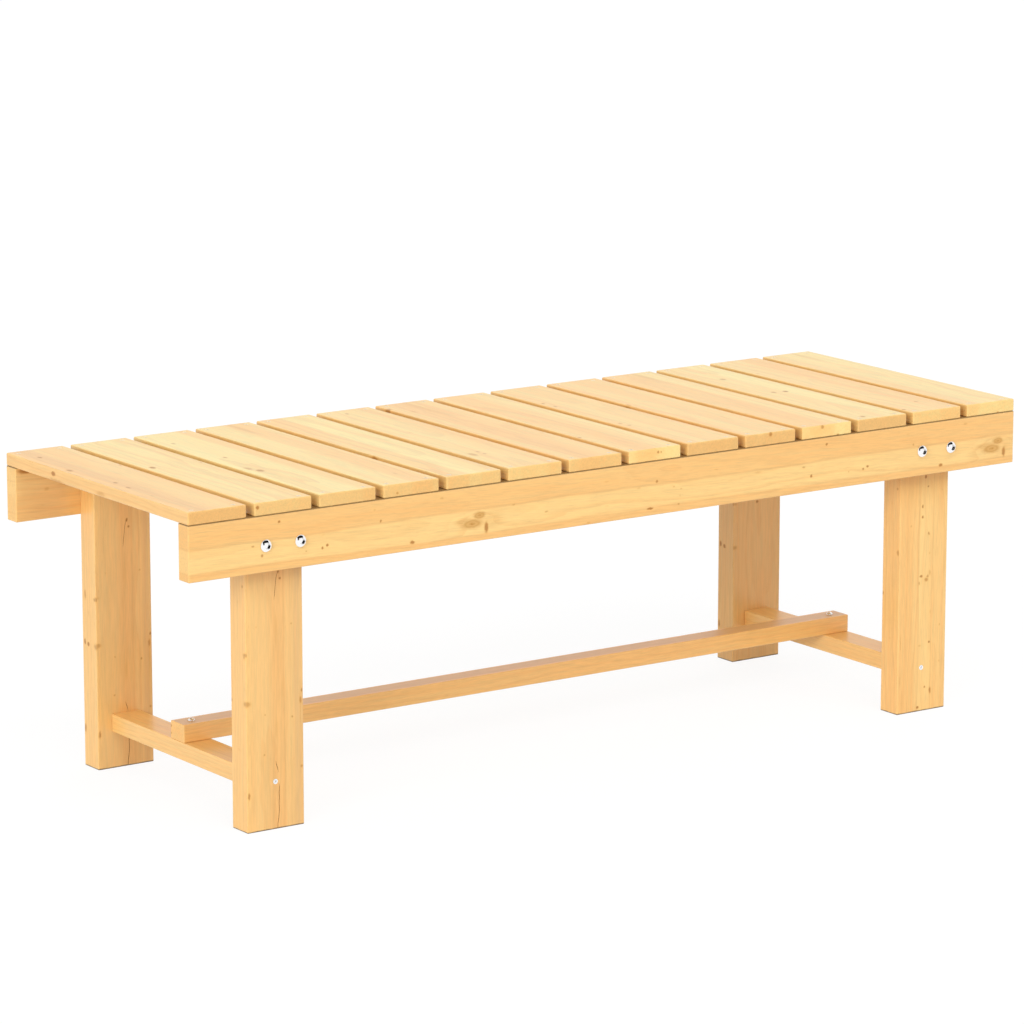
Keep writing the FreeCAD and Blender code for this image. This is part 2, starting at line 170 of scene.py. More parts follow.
# Ramps: the value where each starts, the value where it ends, and what it gives there
RING_RISE = (0.35, 0.93, 0, 1)
RING_FALL = (0.94, 1.0, 1, 0)
EDGE_RAMP = (0.6, 3.2, 1, 0)
END_RAMP = (0.3, 0.9, 1, 0)
TONE_RAMP = (0.32, 0.68, -0.3, 0.3)
SMOKE_AND_SHADE_RAMP = (0.3, 0.65, 0.4, 1)
FLECK_RAMP = (0.68, 0.80, 0, 0.35)
WORN_RAMP = (0.3, 0.7, 0, 0.35)
SHADE_RAMPS = {"fibre": (0.2, 0.8, 0.92, 1.06), "dash": (0.25, 0.75, -0.055, 0.045),
               "streak": (0.3, 0.7, -0.025, 0.025)}
KNOT_AND_SHADE_RAMP = (0.3, 1.3)
CORE_RAMP = (0.15, 0.8, 0, 0.82)
STAIN_RAMP = (0.45, 1.5, 1, 0)
BEND_RAMP = (0.2, 4.0, 2.6, 0)
# Factors with an offset: strength of each ring, share of rings in the colour, and rings in a stain
RING_STRENGTH = (0.8, 0.2)
RING_SHARE = (-0.2, 0.30)
STAIN_RING_SHARE = (0.14, 0.86)
STAIN_RINGS = 11.0
STAIN_SHARE = 0.85
HALO_AND_SHADE_SHARE = 0.85
# Weights of the wood's features in its tone, in its roughness and in the height of its surface
TONE_WEIGHTS = {"streak": 0.45, "broad": 0.3, "dash": 0.25}
ROUGHNESS_WEIGHTS = {"fibre": 0.14, "end": 0.15, "edge": -0.05, "core": 0.1}
BASE_ROUGHNESS = 0.26
HEIGHT_WEIGHTS = {"late": 0.5, "fibre": 0.8, "core": -0.6}
WOOD_GLOSS = 0.6
WOOD_BUMP = (0.35, 0.15)
# Small knots by chance: cells per millimetre, and the ramps of their strength, their size and their depth
CHANCE_CELLS = (0.02, 0.034, 0)
CHANCE_STRENGTH = (0.45, 0.95, 0, 0.85)
CHANCE_SPECK = (0.02, 0.1, 1, 0)
CHANCE_DEPTHS = (3, 1)
# Painted shade near an edge, in the slats' gaps, along the rails' tops under the slats and at the legs'
# feet: where it starts and is full, measured from the edge, and its amount
SIDE_SHADE = (0.9, 0.2, 0.42)
TOP_SEAM_SHADE = (1.5, 0.3, 0.75)
FOOT_SHADE = (2.0, 0.8, 0.92)
KNOT_REACH = 14
# A board's place in the wood, by chance: its shift, its pith's lean, place and depth, and its rings
LARGEST_SHIFT = 4000
PITH_LEAN = 0.03
PITH_ACROSS = 0.6
PITH_DEPTHS = (1.2, 2.5)
RING_SPACINGS = (4.0, 6.0)


class Tree:
    """Adds nodes to a node tree. A socket links them, and a plain value goes straight into its socket."""

    def __init__(self, tree):
        self.tree = tree

    def feed(self, socket, value):
        if isinstance(value, bpy.types.NodeSocket):
            self.tree.links.new(value, socket)
        else:
            socket.default_value = value

    def feed_all(self, sockets, values):
        for socket, value in zip(sockets, values):
            self.feed(socket, value)

    def add(self, kind, inputs=None, **settings):
        node = self.tree.nodes.new(kind)
        for name, setting in settings.items():
            setattr(node, name, setting)
        for name, value in (inputs or {}).items():
            self.feed(node.inputs[name], value)
        return node

    def math(self, operation, *values, clamp=False):
        node = self.add("ShaderNodeMath", operation=operation, use_clamp=clamp)
        self.feed_all(node.inputs, values)
        return node.outputs[0]

    def times(self, first, second):
        return self.math("MULTIPLY", first, second)

    def total(self, features, weights, base=0.0):
        """Sum of a base and some features, each times its weight."""
        for name, weight in weights.items():
            base = self.math("MULTIPLY_ADD", features[name], weight, base)
        return base

    def vector(self, operation, *values):
        node = self.add("ShaderNodeVectorMath", operation=operation)
        self.feed_all(node.inputs, values)
        return node.outputs["Value" if operation == "LENGTH" else "Vector"]

    def split(self, vector):
        return self.add("ShaderNodeSeparateXYZ", {"Vector": vector}).outputs

    def join(self, **parts):
        return self.add("ShaderNodeCombineXYZ", parts).outputs["Vector"]

    def noise(self, place, frequency, detail=2.0, roughness=0.5):
        """Noise from 0 to 1, with its frequency in waves per millimetre along each direction."""
        scaled = self.vector("MULTIPLY", place, frequency)
        inputs = {"Vector": scaled, "Scale": 1.0, "Detail": detail, "Roughness": roughness}
        return self.add("ShaderNodeTexNoise", inputs).outputs["Fac"]

    def sway(self, place, frequency, amount):
        """Noise around zero, of a size in millimetres."""
        return self.times(self.math("SUBTRACT", self.noise(place, frequency), 0.5), amount)

    def smooth(self, value, low, high, start=0.0, end=1.0):
        """Smooth step from start to end while the value goes from low to high."""
        inputs = {"Value": value, "From Min": low, "From Max": high, "To Min": start, "To Max": end}
        return self.add("ShaderNodeMapRange", inputs, interpolation_type="SMOOTHSTEP").outputs["Result"]

    def mix(self, factor, first, second, blend="MIX"):
        node = self.add("ShaderNodeMix", data_type="RGBA", blend_type=blend)
        self.feed_all([socket for socket in node.inputs if socket.enabled], (factor, first, second))
        return next(socket for socket in node.outputs if socket.enabled)

    def layers(self, colour, *layers):
        """A colour with others laid over it, each by its share."""
        for share, tone in layers:
            colour = self.mix(share, colour, tone)
        return colour


def new_group(name, inputs, outputs):
    """Empty node group with its sockets, and its input and output nodes."""
    group = bpy.data.node_groups.new(name, "ShaderNodeTree")
    for names, way in ((inputs, "INPUT"), (outputs, "OUTPUT")):
        for socket, kind in names.items():
            group.interface.new_socket(socket, in_out=way, socket_type=f"NodeSocket{kind}")
    tree = Tree(group)
    return group, tree, tree.add("NodeGroupInput").outputs, tree.add("NodeGroupOutput").inputs


def new_material(name):
    """Material with its node tree and the node of its surface."""
    material = bpy.data.materials.new(name)
    material.use_nodes = True
    return material, Tree(material.node_tree), material.node_tree.nodes["Principled BSDF"]


def make_stain_group():
    """The eye of a grown-over branch: a stain with faint rings, and the growth rings' bend around it."""
    marks = {"Stain": "Float", "Bend": "Float"}
    inputs = {"Place": "Vector", "Tightness": "Vector", "Offset": "Vector", "Amount": "Float", **marks}
    group, tree, given, result = new_group("branch_stain", inputs, marks)
    scaled = tree.vector("MULTIPLY_ADD", given["Place"], given["Tightness"], given["Offset"])
    distance = tree.vector("LENGTH", scaled)
    wave = tree.math("SINE", tree.times(distance, STAIN_RINGS))
    rings = tree.math("MULTIPLY_ADD", wave, *STAIN_RING_SHARE)
    stain = tree.times(tree.smooth(distance, *STAIN_RAMP), tree.times(rings, given["Amount"]))
    bend = tree.smooth(distance, *BEND_RAMP)
    tree.feed(result["Stain"], tree.math("MAXIMUM", stain, given["Stain"]))
    tree.feed(result["Bend"], tree.math("ADD", bend, given["Bend"]))
    return group


def growth_rings(tree, given):
    """Late-wood lines from 0 to 1: rings around a pith that runs along the board beside or under it."""
    own = tree.split(given["Place"])
    pith = tree.split(given["Pith"])
    lean = tree.times(own[X], pith[X])
    across = tree.math("SUBTRACT", tree.math("SUBTRACT", own[Y], pith[Y]), lean)
    through = tree.math("SUBTRACT", own[Z], pith[Z])
    radius = tree.vector("LENGTH", tree.join(Y=across, Z=through))
    for amount in [tree.sway(given["Grain"], *sway) for sway in RING_SWAYS] + [given["Bend"]]:
        radius = tree.math("ADD", radius, amount)
    turns = tree.math("DIVIDE", radius, given["Spacing"])
    part = tree.math("FRACT", turns)
    year = tree.add("ShaderNodeTexWhiteNoise", {"W": tree.math("FLOOR", turns)}, noise_dimensions="1D")
    strength = tree.math("MULTIPLY_ADD", year.outputs["Value"], *RING_STRENGTH)
    return tree.times(tree.times(tree.smooth(part, *RING_RISE), tree.smooth(part, *RING_FALL)), strength)


def edge_nearness(tree, given):
    """How near a point is to a board's edge, and to its end grain, each from 0 to 1."""
    margin = tree.vector("SUBTRACT", given["Half"], tree.vector("ABSOLUTE", given["Place"]))
    along, across, through = tree.split(margin)
    nearer = tree.math("MINIMUM", across, through)
    farther = tree.math("MAXIMUM", across, through)
    middle = tree.math("MAXIMUM", nearer, tree.math("MINIMUM", farther, along))
    return tree.smooth(middle, *EDGE_RAMP), tree.smooth(along, *END_RAMP)


def wavy_place(tree, grain):
    """The grain's own coordinates, pushed about sideways so that the fibres run in slow waves."""
    drift = tree.math("ADD", *[tree.sway(grain, *sway) for sway in FIBRE_SWAYS])
    return tree.vector("ADD", grain, tree.join(Y=drift, Z=drift))


def make_pine_group():
    """Softwood: pale and warm streaks, growth rings, fibres, flecks, worn edges and end grain."""
    inputs = {"Place": "Vector", "Grain": "Vector", "Pith": "Vector", "Half": "Vector", "Spacing": "Float",
              "Pale tone": "Color", "Warm tone": "Color", "Warm": "Float", "Smoke and shade": "Float",
              "Line": "Float", "End": "Float", "Contact shade": "Float", "Mark": "Float", "Stain": "Float",
              "Bend": "Float"}
    outputs = {"Colour": "Color", "Roughness": "Float", "Height": "Float"}
    group, tree, given, result = new_group("pine", inputs, outputs)
    grain = wavy_place(tree, given["Grain"])
    late = growth_rings(tree, given)
    edge, end = edge_nearness(tree, given)
    fibre, dash, streak, fleck = (tree.noise(grain, *kind) for kind in (FIBRE, DASH, STREAK, FLECK))
    broad = tree.noise(given["Grain"], *BROAD)
    core = tree.smooth(given["Mark"], *CORE_RAMP)
    features = {"fibre": fibre, "dash": dash, "streak": streak, "broad": broad, "late": late,
                "edge": edge, "end": end, "core": core}

    tone = tree.smooth(tree.total(features, TONE_WEIGHTS), *TONE_RAMP)
    warm = tree.math("ADD", given["Warm"], tone, clamp=True)
    smoke_and_shade = tree.math("MULTIPLY", given["Smoke and shade"], tree.smooth(fibre, *SMOKE_AND_SHADE_RAMP), clamp=True)
    shade = 0.0
    for name, ramp in SHADE_RAMPS.items():
        shade = tree.math("ADD", tree.smooth(features[name], *ramp), shade)
    # Among these layers, the line share also lays painted shade on the slats' sides, the smoky share
    # painted shade on some boards, and the contact share painted shade at seams and feet
    colour = tree.layers(
        tree.mix(warm, given["Pale tone"], given["Warm tone"]),
        (tree.times(smoke_and_shade, tree.math("SUBTRACT", 1.0, end)), SMOKY_AND_SHADED),
        (tree.times(end, given["End"]), END_GRAIN),
        (tree.times(late, tree.math("MULTIPLY_ADD", end, *RING_SHARE)), LATE),
        (tree.smooth(fleck, *FLECK_RAMP), LATE),
        (given["Line"], FINE_LINE_AND_SHADE))
    colour = tree.layers(
        tree.mix(1.0, colour, tree.join(X=shade, Y=shade, Z=shade), "MULTIPLY"),
        (tree.times(given["Stain"], STAIN_SHARE), STAIN),
        (tree.times(given["Mark"], HALO_AND_SHADE_SHARE), HALO_AND_SHADE),
        (core, CORE),
        (tree.times(edge, tree.smooth(streak, *WORN_RAMP)), PALE),
        (given["Contact shade"], CONTACT_SHADE))
    tree.feed(result["Colour"], colour)
    tree.feed(result["Roughness"], tree.total(features, ROUGHNESS_WEIGHTS, BASE_ROUGHNESS))
    tree.feed(result["Height"], tree.total(features, HEIGHT_WEIGHTS))
    return group


stain_group = make_stain_group()
pine_group = make_pine_group()


def scaling(place, size):
    """Factors and offsets that turn a place into its distance from a mark, which is 1 at the mark's rim."""
    tightness = [2 / length for length in size]
    return tightness, [-middle * factor for middle, factor in zip(place, tightness)]


class Board:
    """A CAD board's box, with its own directions along the grain, across its wide face and through it."""

    bands = ()
    shaded_sides = ()
    chance_face = 1
    palette = (PALE, WARM)
    warm = 0.5
    end = 0.25
    lean = 0.0
    on_floor = False
    shaded_top = False

    def __init__(self, node, grain, wide):
        self.node = node
        through = ({X, Y, Z} - {grain, wide}).pop()
        self.axes = (grain, wide, through)
        low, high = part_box(node)
        self.centre = [(low[axis] + high[axis]) / 2 / MM for axis in self.axes]
        self.half = [(high[axis] - low[axis]) / 2 / MM for axis in self.axes]
        self.radius = next(size for kind, size in BOARD_RADII.items() if kind in node)
        self.knots = []
        self.stains = []
        dice = random.Random(node)
        self.shift = [dice.uniform(-LARGEST_SHIFT, LARGEST_SHIFT) for _ in self.axes]
        side = dice.choice((-1, 1))
        self.pith = (dice.uniform(-PITH_LEAN, PITH_LEAN),
                     dice.uniform(-PITH_ACROSS, PITH_ACROSS) * self.half[Y],
                     side * dice.uniform(*PITH_DEPTHS) * self.half[Y])
        self.spacing = dice.uniform(*RING_SPACINGS)

    def face(self, side):
        """Place of the low or the high wide face in the row frame."""
        return self.centre[Z] + side * self.half[Z]

    def in_row(self, along, across, through):
        """Point of the row frame, in metres, from a point in the board's own directions."""
        point = Vector()
        for axis, centre, offset in zip(self.axes, self.centre, (along, across, through)):
            point[axis] = (centre + offset) * MM
        return point

    def knot(self, place, size, depth):
        """A small knot around a point of the board, with its size in each direction and its darkness."""
        self.knots.append((*scaling(place, size), depth))

    def stain(self, place, size, amount):
        """A branch's stained eye around a point of the board."""
        self.stains.append((*scaling(place, size), amount))

    def face_knot(self, side, along, across, length, width, depth):
        """A knot in the low or the high wide face. The front right leg's table also lays a broad patch of
        painted shade through it.
        """
        self.knot((along, across, side * self.half[Z]), (length, width, KNOT_REACH), depth)

    def side_knot(self, side, along, through, length, width, depth):
        """A knot in the low or the high narrow face."""
        self.knot((along, side * self.half[Y], through), (length, KNOT_REACH, width), depth)


def object_place(tree):
    """Place in the row frame, in millimetres."""
    return tree.vector("MULTIPLY", tree.add("ShaderNodeTexCoord").outputs["Object"], [1 / MM] * 3)


def board_marks(tree, board, place, grain):
    """Darkness of the board's small knots, and the stain and the bend of its branches' eyes."""
    shaken = tree.vector("ADD", place, tree.sway(grain, *KNOT_SWAY))
    mark = chance_marks(tree, board, place, shaken)
    for tightness, offset, depth in board.knots:
        distance = tree.vector("LENGTH", tree.vector("MULTIPLY_ADD", shaken, tightness, offset))
        mark = tree.math("MAXIMUM", tree.smooth(distance, *KNOT_AND_SHADE_RAMP, depth, 0), mark)
    marks = {"Stain": 0.0, "Bend": 0.0}
    for tightness, offset, amount in board.stains:
        inputs = {"Place": shaken, "Tightness": tightness, "Offset": offset, "Amount": amount, **marks}
        eye = tree.add("ShaderNodeGroup", inputs, node_tree=stain_group)
        marks = {name: eye.outputs[name] for name in marks}
    return {"Mark": mark, **marks}


def chance_marks(tree, board, place, shaken):
    """Darkness of small knots by chance, in the wide face that the photo doesn't show."""
    spread_out = tree.vector("MULTIPLY_ADD", shaken, CHANCE_CELLS, board.shift)
    inputs = {"Vector": spread_out, "Scale": 1.0}
    cells = tree.add("ShaderNodeTexVoronoi", inputs, voronoi_dimensions="2D").outputs
    strength = tree.smooth(tree.split(cells["Color"])[X], *CHANCE_STRENGTH)
    start, full = (board.half[Z] - depth for depth in CHANCE_DEPTHS)
    inside = tree.smooth(tree.times(tree.split(place)[Z], float(board.chance_face)), start, full)
    return tree.times(tree.smooth(cells["Distance"], *CHANCE_SPECK), tree.times(strength, inside))


def board_tones(tree, board, place, grain):
    """Warm, smoky, line and contact-shade shares: streaks, and painted shade on shaded sides, along a top
    edge and at a foot.
    """
    tones = {"Warm": board.warm, "Smoke and shade": 0.0, "Line": 0.0, "Contact shade": 0.0}
    along, across, _ = tree.split(place)
    swayed = tree.math("ADD", across, tree.sway(grain, *BAND_SWAY))
    for centre, half_width, softness, kind, amount in board.bands:
        distance = tree.math("ABSOLUTE", tree.math("SUBTRACT", swayed, centre))
        mask = tree.smooth(distance, half_width, half_width + softness, amount, 0)
        tones[kind] = tree.math("ADD", mask, tones[kind])
    # Painted shade on each shaded side, in the gap next to a neighbouring slat
    for side in board.shaded_sides:
        start, full, amount = SIDE_SHADE
        outward = tree.times(across, float(side))
        mask = tree.smooth(outward, board.half[Y] - start, board.half[Y] - full, 0, amount)
        tones["Line"] = tree.math("MAXIMUM", mask, tones["Line"])
    # Painted shade along the top edge, where the slats sit on the rail
    if board.shaded_top:
        start, full, amount = TOP_SEAM_SHADE
        tones["Contact shade"] = tree.smooth(across, board.half[Y] - start, board.half[Y] - full, 0, amount)
    # Painted contact shade at the foot, where the leg stands on the floor
    if board.on_floor:
        start, full, amount = FOOT_SHADE
        height = tree.math("ADD", along, tree.sway(grain, *FOOT_SHADE_SWAY))
        tones["Contact shade"] = tree.smooth(height, full - board.half[X], start - board.half[X], amount, 0)
    return tones


def add_bump(tree, surface, height, strength, size):
    bump = tree.add("ShaderNodeBump", {"Height": height, "Strength": strength, "Distance": size * MM})
    tree.feed(surface.inputs["Normal"], bump.outputs["Normal"])


def pine_material(board):
    material, tree, surface = new_material(f"{board.node}_pine")
    row = tree.split(object_place(tree))
    own = tree.join(**{name: row[axis] for name, axis in zip("XYZ", board.axes)})
    place = tree.vector("SUBTRACT", own, board.centre)
    slope = tree.join(Y=tree.times(tree.split(place)[X], board.lean))
    grain = tree.vector("ADD", tree.vector("ADD", place, board.shift), slope)
    pale, warm = board.palette
    pine = tree.add("ShaderNodeGroup", {
        "Place": place, "Grain": grain, "Pith": board.pith, "Half": board.half, "Spacing": board.spacing,
        "Pale tone": pale, "Warm tone": warm, "End": board.end, **board_tones(tree, board, place, grain),
        **board_marks(tree, board, place, grain)}, node_tree=pine_group)
    tree.feed(surface.inputs["Base Color"], pine.outputs["Colour"])
    tree.feed(surface.inputs["Roughness"], pine.outputs["Roughness"])
    surface.inputs["Specular IOR Level"].default_value = WOOD_GLOSS
    add_bump(tree, surface, pine.outputs["Height"], *WOOD_BUMP)
    return material


CHECK_MOTTLE = ((0.3, 0.3, 0.3), 3.0)
CHECK_ROUGHNESS = (0.2, 0.7)


def check_material():
    """Rough inside of a drying check, painted dark as the shade deep in the crack."""
    material, tree, surface = new_material("drying_check_shade")
    mottle = tree.noise(object_place(tree), *CHECK_MOTTLE)
    tree.feed(surface.inputs["Base Color"], tree.mix(mottle, CHECK_SHADE, FINE_LINE_AND_SHADE))
    tree.feed(surface.inputs["Roughness"], tree.math("MULTIPLY_ADD", mottle, *CHECK_ROUGHNESS))
    return material


SMUDGE = ((0.35, 0.35, 0.35), 3.0, 0.6)
SMUDGE_START_END = (0.45, 0.8)
SMUDGE_SHADE = 0.72
TURNING_MARKS = ((3.5, 3.5, 3.5), 2.0)
STEEL_BUMP = 0.3


def steel_material(name, base, roughness, streaks, bump_size):
    """Bare or plated steel with fine turning marks, smudges and a slightly uneven surface."""
    material, tree, surface = new_material(name)
    place = object_place(tree)
    smudge = tree.noise(place, *SMUDGE)
    darker = [SMUDGE_SHADE * channel for channel in base[:3]] + [1]
    share = tree.smooth(smudge, *SMUDGE_START_END, 0, streaks)
    tree.feed(surface.inputs["Base Color"], tree.mix(share, base, darker))
    tree.feed(surface.inputs["Roughness"], tree.math("MULTIPLY_ADD", smudge, roughness, roughness / 2))
    surface.inputs["Metallic"].default_value = 1.0
    add_bump(tree, surface, tree.noise(place, *TURNING_MARKS), STEEL_BUMP, bump_size)
    return material


shaded_check = check_material()
# Steels: base colour, roughness, share of smudges and size of the bumps
chrome = steel_material("bolt_chrome", linear(250, 250, 251), 0.05, 0.1, 0.003)
socket_steel = steel_material("socket_steel", linear(212, 211, 210), 0.08, 0.3, 0.004)
bright_zinc = steel_material("screw_bright_zinc", linear(250, 250, 250), 0.26, 0.15, 0.006)
yellow_zinc = steel_material("screw_yellow_zinc", linear(252, 236, 212), 0.55, 0.3, 0.01)
dull_zinc = steel_material("insert_zinc", linear(186, 184, 176), 0.4, 0.8, 0.02)


def spread(span, step):
    """Places from -span to span, evenly and about a step apart."""
    count = max(1, round(2 * span / step))
    return [span * (2 * number / count - 1) for number in range(count + 1)]


def ring_points(half_wide, half_through, radius, inset):
    """Points round a board's section with rounded corners, moved inwards by an inset."""
    wide_flat, through_flat = half_wide - radius, half_through - radius
    wides, throughs = spread(wide_flat, FACE_STEP), spread(through_flat, FACE_STEP)
    reach_wide, reach_through = half_wide - inset, half_through - inset
    sides = ([(wide, -reach_through) for wide in wides], [(reach_wide, through) for through in throughs],
             [(-wide, reach_through) for wide in wides], [(-reach_wide, -through) for through in throughs])
    corners = ((wide_flat, -through_flat), (wide_flat, through_flat),
               (-wide_flat, through_flat), (-wide_flat, -through_flat))
    bend = radius - inset
    points = []
    for turn, (side, (wide, through)) in enumerate(zip(sides, corners)):
        points += side
        for step in range(1, CORNER_STEPS):
            angle = QUARTER_TURN * (turn - 1 + step / CORNER_STEPS)
            points.append((wide + bend * math.cos(angle), through + bend * math.sin(angle)))
    return points


def board_stations(half_length, radius):
    """Places along a board where its section is drawn, each with the inset that rounds its ends."""
    start = []
    for step in range(CORNER_STEPS):
        angle = QUARTER_TURN * step / CORNER_STEPS
        start.append((-half_length + radius * (1 - math.cos(angle)), radius * (1 - math.sin(angle))))
    middle = [(along, 0) for along in spread(half_length - radius, GRAIN_STEP)]
    return start + middle + [(-along, inset) for along, inset in reversed(start)]


def wear_down(mesh, board):
    """Takes a little wood off, unevenly: a slow wave on the faces and small dents along the edges."""
    mesh.normal_update()
    worn = []
    for vertex in mesh.verts:
        own = [vertex.co[axis] / MM - centre for axis, centre in zip(board.axes, board.centre)]
        margins = sorted(half - abs(offset) for half, offset in zip(board.half, own))
        place = Vector([offset + shift for offset, shift in zip(own, board.shift)])
        slow = Vector([offset / length for offset, length in zip(place, WEAR_LENGTHS)])
        wave = 0.5 + 0.5 * noise.noise(slow)
        edge = max(0.0, 1 - margins[1] / (EDGE_REACH_SHARE * board.radius))
        dent = max(0.0, noise.noise(place / DENT_LENGTH) - DENT_START_SHARE)
        worn.append(FACE_WEAR * wave + EDGE_WEAR * edge * dent)
    for vertex, depth in zip(mesh.verts, worn):
        vertex.co -= vertex.normal * depth * MM


def bridge(mesh, rows, closed):
    """Faces between rows of vertices that follow each other, round each row or only along it."""
    for near, far in zip(rows, rows[1:]):
        for number in range(0 if closed else 1, len(near)):
            mesh.faces.new((near[number - 1], near[number], far[number], far[number - 1]))


def board_mesh(board):
    """Board with rounded edges and ends, divided evenly along the grain and over its end grain."""
    mesh = bmesh.new()
    half_length, half_wide, half_through = board.half
    rings = []
    for along, inset in board_stations(half_length, board.radius):
        points = ring_points(half_wide, half_through, board.radius, inset)
        rings.append([mesh.verts.new(board.in_row(along, *point)) for point in points])
    bridge(mesh, rings, True)
    wides = spread(half_wide - board.radius, FACE_STEP)
    throughs = spread(half_through - board.radius, FACE_STEP)
    for along in (-half_length, half_length):
        bridge(mesh, [[mesh.verts.new(board.in_row(along, wide, through)) for through in throughs]
                      for wide in wides], False)
    bmesh.ops.remove_doubles(mesh, verts=mesh.verts, dist=MERGE_DISTANCE * MM)
    bmesh.ops.recalc_face_normals(mesh, faces=mesh.faces)
    wear_down(mesh, board)
    return mesh


def lathe(mesh, profile, segments, thread=NO_THREAD):
    """Turns a profile of (radius, height) points about the height axis, closed where the radius is zero.
    A thread is (lowest height, highest height, pitch, depth), and it raises the surface between them."""
    lowest, highest, pitch, depth = thread
    columns = []
    for number in range(segments):
        turn = number / segments
        angle = FULL_TURN * turn
        column = []
        for radius, height in profile:
            if lowest < height < highest:
                radius += depth * (0.5 + 0.5 * math.cos(FULL_TURN * (height / pitch - turn)))
            place = Vector((radius * math.cos(angle), radius * math.sin(angle), height)) * MM
            column.append(mesh.verts.new(place))
        columns.append(column)
    bridge(mesh, columns + columns[:1], False)
    bmesh.ops.remove_doubles(mesh, verts=mesh.verts, dist=LATHE_MERGE_DISTANCE * MM)
    flat = [face for face in mesh.faces if face.calc_area() < FLAT_AREA]
    bmesh.ops.delete(mesh, geom=flat, context="FACES")
    bmesh.ops.recalc_face_normals(mesh, faces=mesh.faces)


def threaded_profile(core, start, stop, pitch):
    """Straight run of a profile from one height down to another, fine enough for a thread."""
    count = math.ceil((start - stop) / pitch * THREAD_ROWS)
    return [(core, start + (stop - start) * number / count) for number in range(count + 1)]


def prism(mesh, corners, low, high, top_scale=1.0, wall_material=0):
    """Straight or flared prism on an outline of (x, y) corners. Its walls may have another material."""
    bottom = [mesh.verts.new(Vector((x, y, low)) * MM) for x, y in corners]
    top = [mesh.verts.new(Vector((x * top_scale, y * top_scale, high)) * MM) for x, y in corners]
    mesh.faces.new(bottom)
    mesh.faces.new(top)
    for number in range(len(corners)):
        wall = mesh.faces.new((bottom[number - 1], bottom[number], top[number], top[number - 1]))
        wall.material_index = wall_material
    bmesh.ops.recalc_face_normals(mesh, faces=mesh.faces)


def to_object(name, mesh, *materials):
    data = bpy.data.meshes.new(name)
    mesh.to_mesh(data)
    mesh.free()
    for material in materials:
        data.materials.append(material)
    piece = bpy.data.objects.new(name, data)
    bpy.context.scene.collection.objects.link(piece)
    return piece


def cut(piece, cutter):
    """Cuts one object out of another and keeps the result as the first one's mesh."""
    modifier = piece.modifiers.new("cut", "BOOLEAN")
    modifier.operation = "DIFFERENCE"
    modifier.solver = "EXACT"
    modifier.material_mode = "TRANSFER"
    modifier.object = cutter
    graph = bpy.context.evaluated_depsgraph_get()
    result = bpy.data.meshes.new_from_object(piece.evaluated_get(graph))
    piece.modifiers.clear()
    old, blade = piece.data, cutter.data
    clean = bmesh.new()
    clean.from_mesh(result)
    bmesh.ops.remove_doubles(clean, verts=clean.verts, dist=MERGE_DISTANCE * MM)
    bmesh.ops.dissolve_degenerate(clean, edges=clean.edges, dist=MERGE_DISTANCE * MM)
    clean.to_mesh(result)
    clean.free()
    piece.data = result
    result.name = piece.name
    bpy.data.objects.remove(cutter)
    bpy.data.meshes.remove(old)
    bpy.data.meshes.remove(blade)


def smooth(piece, angle):
    """Smooth shading that breaks at edges sharper than an angle, with flat faces kept flat."""
    piece.data.shade_smooth()
    piece.data.set_sharp_from_angle(angle=math.radians(angle))
    weighted = piece.modifiers.new("flat_faces", "WEIGHTED_NORMAL")
    weighted.keep_sharp = True


def dress(piece, node):
    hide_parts(node)
    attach(piece, "root")


def add_copies(mesh, pattern, places):
    """Copies of a fastener at each place of (point, direction of its head, turn about its own axis)."""
    for point, direction, turn in places:
        rotation = Vector(UP).rotation_difference(Vector(direction)).to_matrix().to_4x4()
        placing = Matrix.Translation(Vector(point) * MM) @ rotation @ Matrix.Rotation(turn, 4, "Z")
        copy = pattern.copy()
        copy.transform(placing)
        mesh.from_mesh(copy)
        bpy.data.meshes.remove(copy)


def groove(mesh, board, points, width, face):
    """V-shaped cutter along a line of (along, across) points in a wide face, tapered to its ends."""
    rings = []
    surface = face * board.half[Z]
    lip = surface + face * width
    for number, (along, across) in enumerate(points):
        share = 1.0 if 0 < number < len(points) - 1 else CHECK_END_SHARE
        bottom = surface - face * CHECK_DEPTH * share
        corners = ((across - width * share, lip), (across + width * share, lip), (across, bottom))
        rings.append([mesh.verts.new(board.in_row(along, *corner)) for corner in corners])
    bridge(mesh, rings, True)
    mesh.faces.new(rings[0])
    mesh.faces.new(rings[-1])


def drill(mesh, profile, segments, point, direction):
    """Adds a turned cutter, whose origin lies on a face and whose height points out of it."""
    bore = bmesh.new()
    lathe(bore, profile, segments)
    blade = bpy.data.meshes.new("drill")
    bore.to_mesh(blade)
    bore.free()
    add_copies(mesh, blade, [(point, direction, 0)])
    bpy.data.meshes.remove(blade)


def screw_seat(mesh, point, direction, depth):
    """Cutter for a countersunk screw: a cone for its head and a hole for its shank."""
    head = WOOD_SCREW.head / 2 + HEAD_CLEARANCE
    shank = WOOD_SCREW.shank / 2 + SHANK_CLEARANCE
    profile = [(0, OVERRUN), (head, OVERRUN), (head, 0),
               (shank, shank - head), (shank, -depth), (0, -depth)]
    drill(mesh, profile, SEAT_SEGMENTS, point, direction)


def round_hole(mesh, point, direction, radius, depth):
    """Cutter for a plain round hole that starts just outside a face."""
    profile = [(0, OVERRUN), (radius, OVERRUN), (radius, -depth), (0, -depth)]
    drill(mesh, profile, HOLE_SEGMENTS, point, direction)


